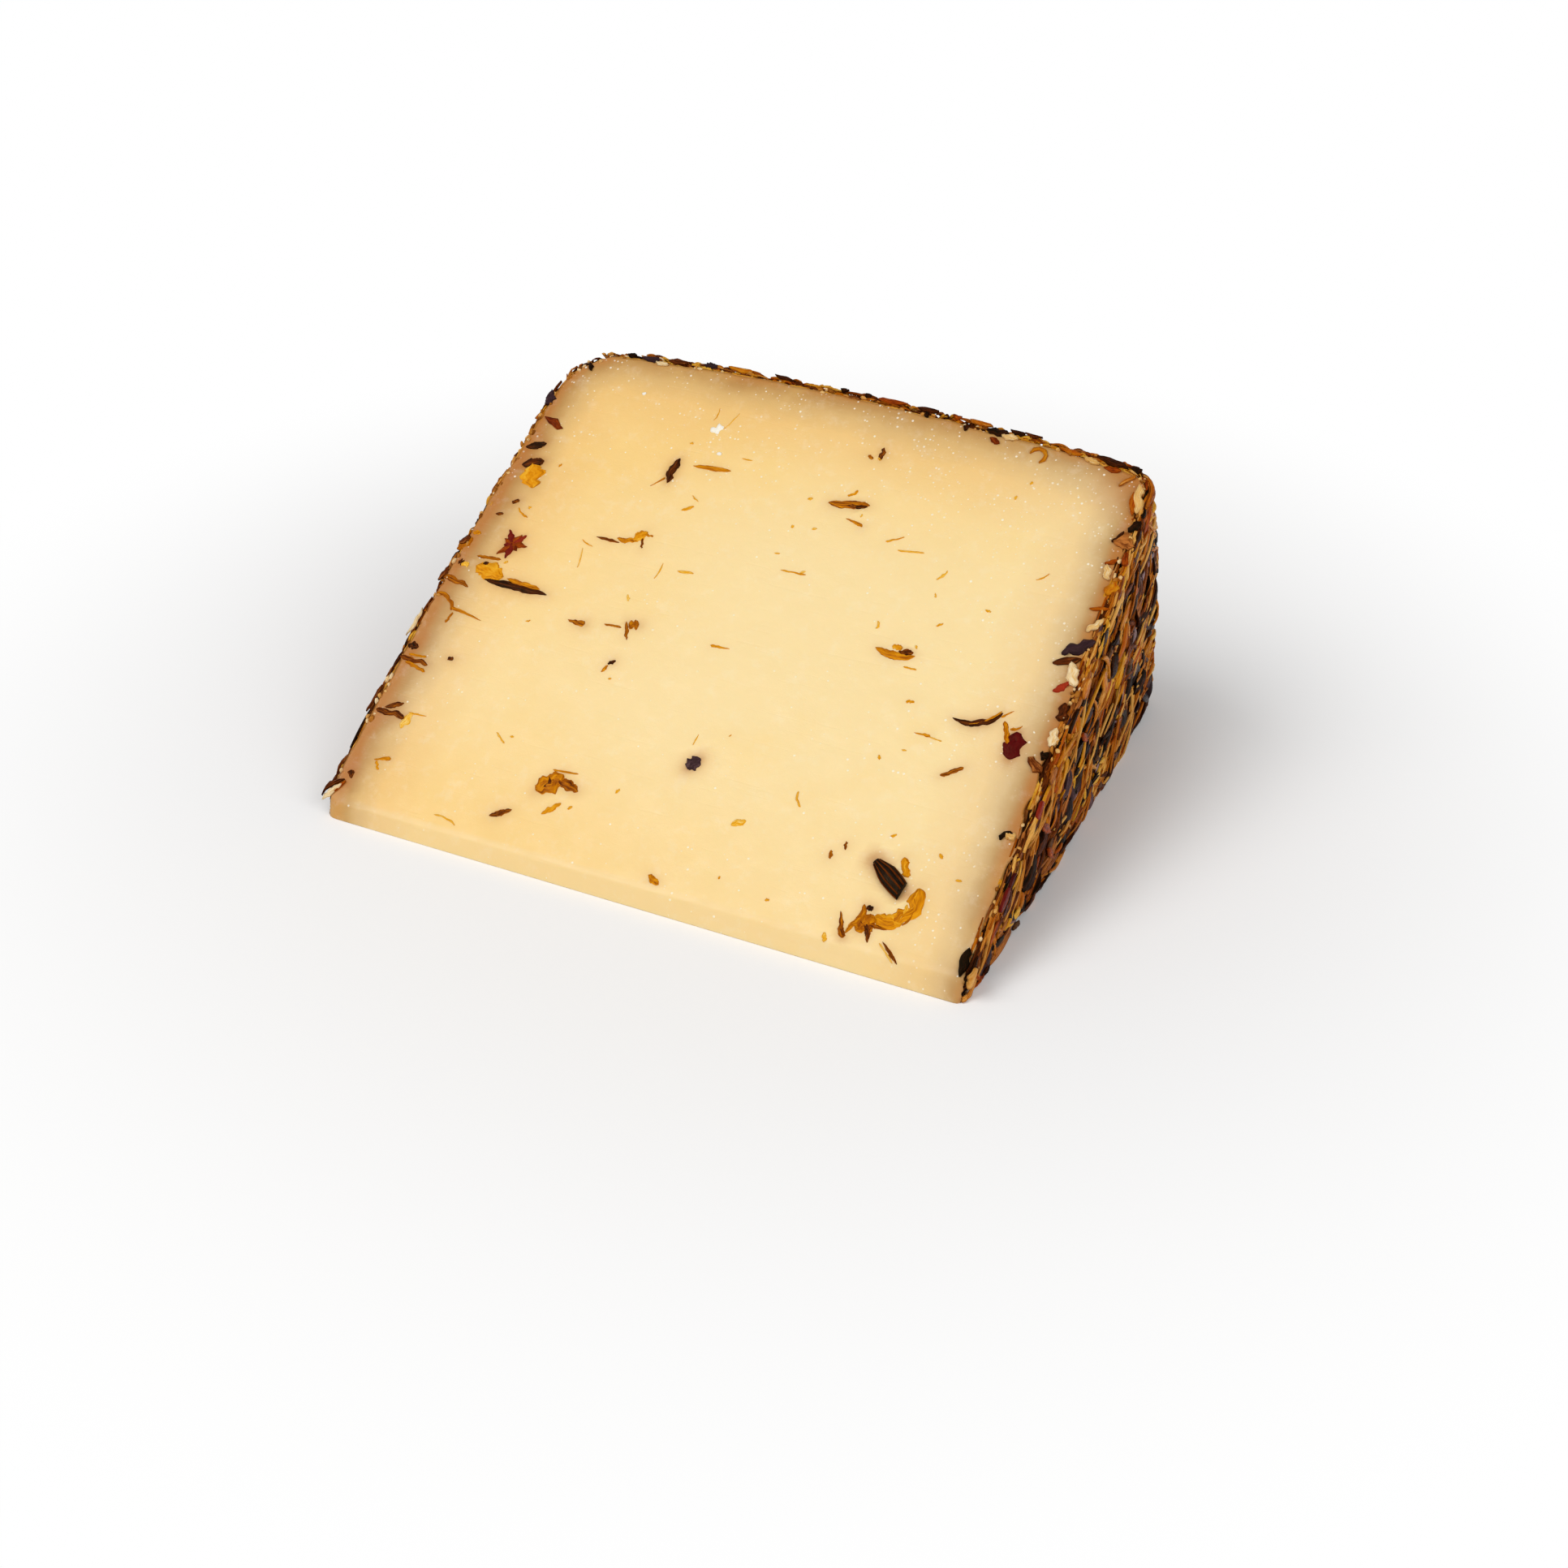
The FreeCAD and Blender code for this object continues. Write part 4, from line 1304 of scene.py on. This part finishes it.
def addPlaced(heaps):
    # the pieces with a place of their own: over the cut's edge, on the right face and in the upper cut
    for kind, tint, across, up, *shape in inclusions["atEdge"]:
        spine = cutSpine(cutPlace(across, up), *shape)
        heaps[kind].add(tint, cutStrip(spine, sliceAngle, 0.9, inclusions["edgeProud"][kind]))
    for kind, tint, *where in inclusions["onFace"]:
        heaps[kind].add(tint, faceStrip(faceSpine(*where), 0.5, 0.4))
    for kind, tint, spine in pasteRows():
        heaps[kind].add(tint, cutStrip(spine, sliceAngle, inclusions["thick"], inclusions["proud"]))
    for across, up, *shape in inclusions["chips"]:
        heaps["chip"].add(0.7, cutStrip(cutSpine(cutPlace(across, up), *shape), sliceAngle, 0.4, 0.15))


def addUnderneath(heap, rng):
    # pieces scattered in the lower cut
    for n in range(inclusions["underneath"]):
        x, r = rng.uniform(-46, 46), rng.uniform(10, 86)
        heading = rng.uniform(0, math.tau)
        long, wide = rng.uniform(0.8, 5.0), rng.uniform(0.3, 1.1)
        bend = rng.uniform(-0.6, 0.6)
        spine = []
        for k, share in enumerate((1.0, 1.2, 0.8, 0.4)):
            turned, gone = heading + bend * k, long * k / 3
            spine.append((x + math.cos(turned) * gone, r + math.sin(turned) * gone, wide * share))
        heap.add(rng.uniform(0.05, 0.8), cutStrip(spine, 0.0, inclusions["thick"], 0.0))


def lump(rng, s, phi, size, lift, turn):
    # a seed or a crumb on the rind; returns a function from a template point to its place
    grain = rng.uniform(0, 50)

    def shape(rest):
        uneven = 1 + 0.35 * noise.noise(rest * 1.6 + Vector((grain, 0, 0)))
        x = rest.x * size[0] * uneven
        y = rest.y * size[1] * uneven
        point, inward = rindAt(s + x * math.cos(turn) - y * math.sin(turn))
        angle = phi + (x * math.sin(turn) + y * math.cos(turn)) / max(point.y, leastR)
        return settle(point - inward * (lift + rest.z * size[2] * uneven), angle, 0.5)
    return shape


def addGrains(heaps, rng):
    faces = ("right", "rim", "left")
    for n in range(coat["seeds"]):
        s, phi = coatSpot(rng, rng.choice(faces))
        phi = min(max(phi, 0.02), sliceAngle - 0.02)
        size = (rng.uniform(0.9, 1.5), rng.uniform(0.45, 0.7), rng.uniform(0.3, 0.45))
        tint, lift, turn = rng.uniform(0, 1), rng.uniform(-0.3, 0.15), rng.gauss(0, 0.6)
        heaps["seed"].add(tint, lump(rng, s, phi, size, lift, turn))
    for n in range(coat["crumbs"]):
        s, phi = coatSpot(rng, rng.choice(faces))
        if rng.random() < coat["crumbsAtEdge"]:
            phi = sliceAngle - abs(rng.gauss(0, 0.010))
        size = (rng.uniform(0.3, 0.8), rng.uniform(0.2, 0.5), rng.uniform(0.15, 0.35))
        tint, lift, turn = rng.uniform(0, 1), rng.uniform(-1.1, -0.1), rng.uniform(0, 3)
        heaps["crumb"].add(tint, lump(rng, s, phi, size, lift, turn))


def addRibbedSeed(heaps):
    seedStart, seedEnd = (cutPlace(*end) for end in inclusions["seedEnds"])
    seedAcross = Vector((seedStart.y - seedEnd.y, seedEnd.x - seedStart.x)).normalized()

    def seedPoint(t, angle, rise):
        girth = min(0.34 + 1.5 * t, 1.0, 1.35 - 0.45 * t) * (1 + 0.05 * math.cos(9 * angle)) + rise
        slant = -0.09 * math.cos(angle) * t  # the broken end runs askew
        side = seedAcross * math.cos(angle) * girth * inclusions["seedWide"] * 0.5
        spot = seedStart.lerp(seedEnd, t + slant) + side
        return wheelPoint(spot.x, spot.y, sliceAngle, math.sin(angle) * girth * 0.8 + 0.1)

    def seedRib(middle):
        return lambda rest: seedPoint(0.04 + 0.95 * rest.z, middle + 0.1 * rest.x, 0.05 + 0.05 * rest.y)
    heaps["bigSeed"].add(0.2, lambda rest: seedPoint(rest.z, math.atan2(rest.y, rest.x), 0.0))
    # the ribs are thin raised strands in the paler straw colour; their paler brown is partly the ribs' own
    # colour and partly painted highlight along each ridge
    for middle in inclusions["ribs"]:
        heaps["straw"].add(0.12, seedRib(math.radians(middle)))


def makeHerbs():
    rng = random.Random(coat["seed"])
    templates = {}
    for name, look, slotName, size in herbKinds.values():
        if size not in templates:
            templates[size] = strandTemplate(*size) if size else blobTemplate()
    heaps = {kind: Heap(templates[row[3]]) for kind, row in herbKinds.items()}
    for zone, lean, rows in coat["zones"]:
        for kind, clumps, *row in rows:
            for n in range(clumps):
                addClump(heaps[kind], rng, zone, lean, *row)
    addPlaced(heaps)
    addUnderneath(heaps["cut"], rng)
    addGrains(heaps, rng)
    addRibbedSeed(heaps)
    for kind, (name, look, slotName, size) in herbKinds.items():
        newObject(name, heaps[kind].finish(), [herbMaterials[look]])
        print("  ", name, len(heaps[kind].shapes), "pieces")
    for template in templates.values():
        bpy.data.meshes.remove(template)


makeHerbs()
print("herbs made")


# Floor, light and camera
studio = {
    "floor": 3.0,
    "floorColour": (252, 251, 250),
    "floorFade": (0.045, 0.16),  # from the middle to where the floor has turned white
    "world": 0.3,
    "key": 6.5,
    "keySize": 0.7,
    "keyPlace": (-0.45, -0.5, 0.85),
    "fill": 4.6,
    "fillSize": 0.8,
    "fillPlace": (0.85, -0.35, 0.5),
    "camera": (0.1262, -0.2496, 0.1843),
    "turn": 26.2,
    "pitch": 34.3,
    "lens": 50.0,
}


def makeFloor():
    bm = bmesh.new()
    bmesh.ops.create_grid(bm, x_segments=2, y_segments=2, size=studio["floor"])
    mesh = bpy.data.meshes.new("floor")
    bm.to_mesh(mesh)
    bm.free()
    floor = bpy.data.objects.new("floor", mesh)
    bpy.context.collection.objects.link(floor)
    material, tree, shader = nodeMaterial("floor")
    setInputs(tree, shader, {
        "Base Color": srgb(*studio["floorColour"]), "Roughness": 0.8, "Specular IOR Level": 0.1})
    rays = addNode(tree, "LightPath").outputs
    seen = mathNode(tree, "MAXIMUM", rays["Is Camera Ray"], rays["Is Glossy Ray"])
    seen = mathNode(tree, "MAXIMUM", seen, rays["Is Transmission Ray"])
    distance = addNode(tree, "VectorMath", {0: objectPlace(tree)}, operation="LENGTH")
    far = rangeNode(tree, distance.outputs["Value"], *studio["floorFade"])
    mixed = addNode(tree, "MixShader", {
        "Fac": mathNode(tree, "MULTIPLY", far, seen), 1: shader.outputs["BSDF"],
        2: addNode(tree, "Emission").outputs["Emission"]})
    setInputs(tree, tree.nodes["Material Output"], {"Surface": mixed.outputs["Shader"]})
    mesh.materials.append(material)


def makeWorld():
    world = bpy.data.worlds.new("studio")
    bpy.context.scene.world = world
    world.use_nodes = True
    tree = world.node_tree
    plain = tree.nodes["Background"]
    setInputs(tree, plain, {"Color": (1.0, 1.0, 1.0, 1.0), "Strength": studio["world"]})
    white = addNode(tree, "Background", {"Color": (1.0, 1.0, 1.0, 1.0)})
    rays = addNode(tree, "LightPath").outputs
    mixed = addNode(tree, "MixShader", {
        "Fac": mathNode(tree, "MAXIMUM", rays["Is Camera Ray"], rays["Is Transmission Ray"]),
        1: plain.outputs["Background"], 2: white.outputs["Background"]})
    setInputs(tree, tree.nodes["World Output"], {"Surface": mixed.outputs["Shader"]})


def makeLamp(name, power, size, place):
    light = bpy.data.lights.new(name, "AREA")
    light.energy = power
    light.size = size
    lamp = bpy.data.objects.new(name, light)
    lamp.location = place
    lamp.rotation_euler = (-Vector(place)).to_track_quat("-Z", "Y").to_euler()
    bpy.context.collection.objects.link(lamp)


def makeCamera():
    data = bpy.data.cameras.new("camera")
    data.lens = studio["lens"]
    data.sensor_width = 36.0
    camera = bpy.data.objects.new("camera", data)
    camera.location = studio["camera"]
    camera.rotation_euler = (math.radians(90 - studio["pitch"]), 0.0, math.radians(studio["turn"]))
    bpy.context.collection.objects.link(camera)
    bpy.context.scene.camera = camera


makeFloor()
makeWorld()
makeLamp("keyLight", studio["key"], studio["keySize"], studio["keyPlace"])
makeLamp("fillLight", studio["fill"], studio["fillSize"], studio["fillPlace"])
makeCamera()
bpy.context.scene.view_settings.view_transform = "Standard"
print("floor, lights and camera set")
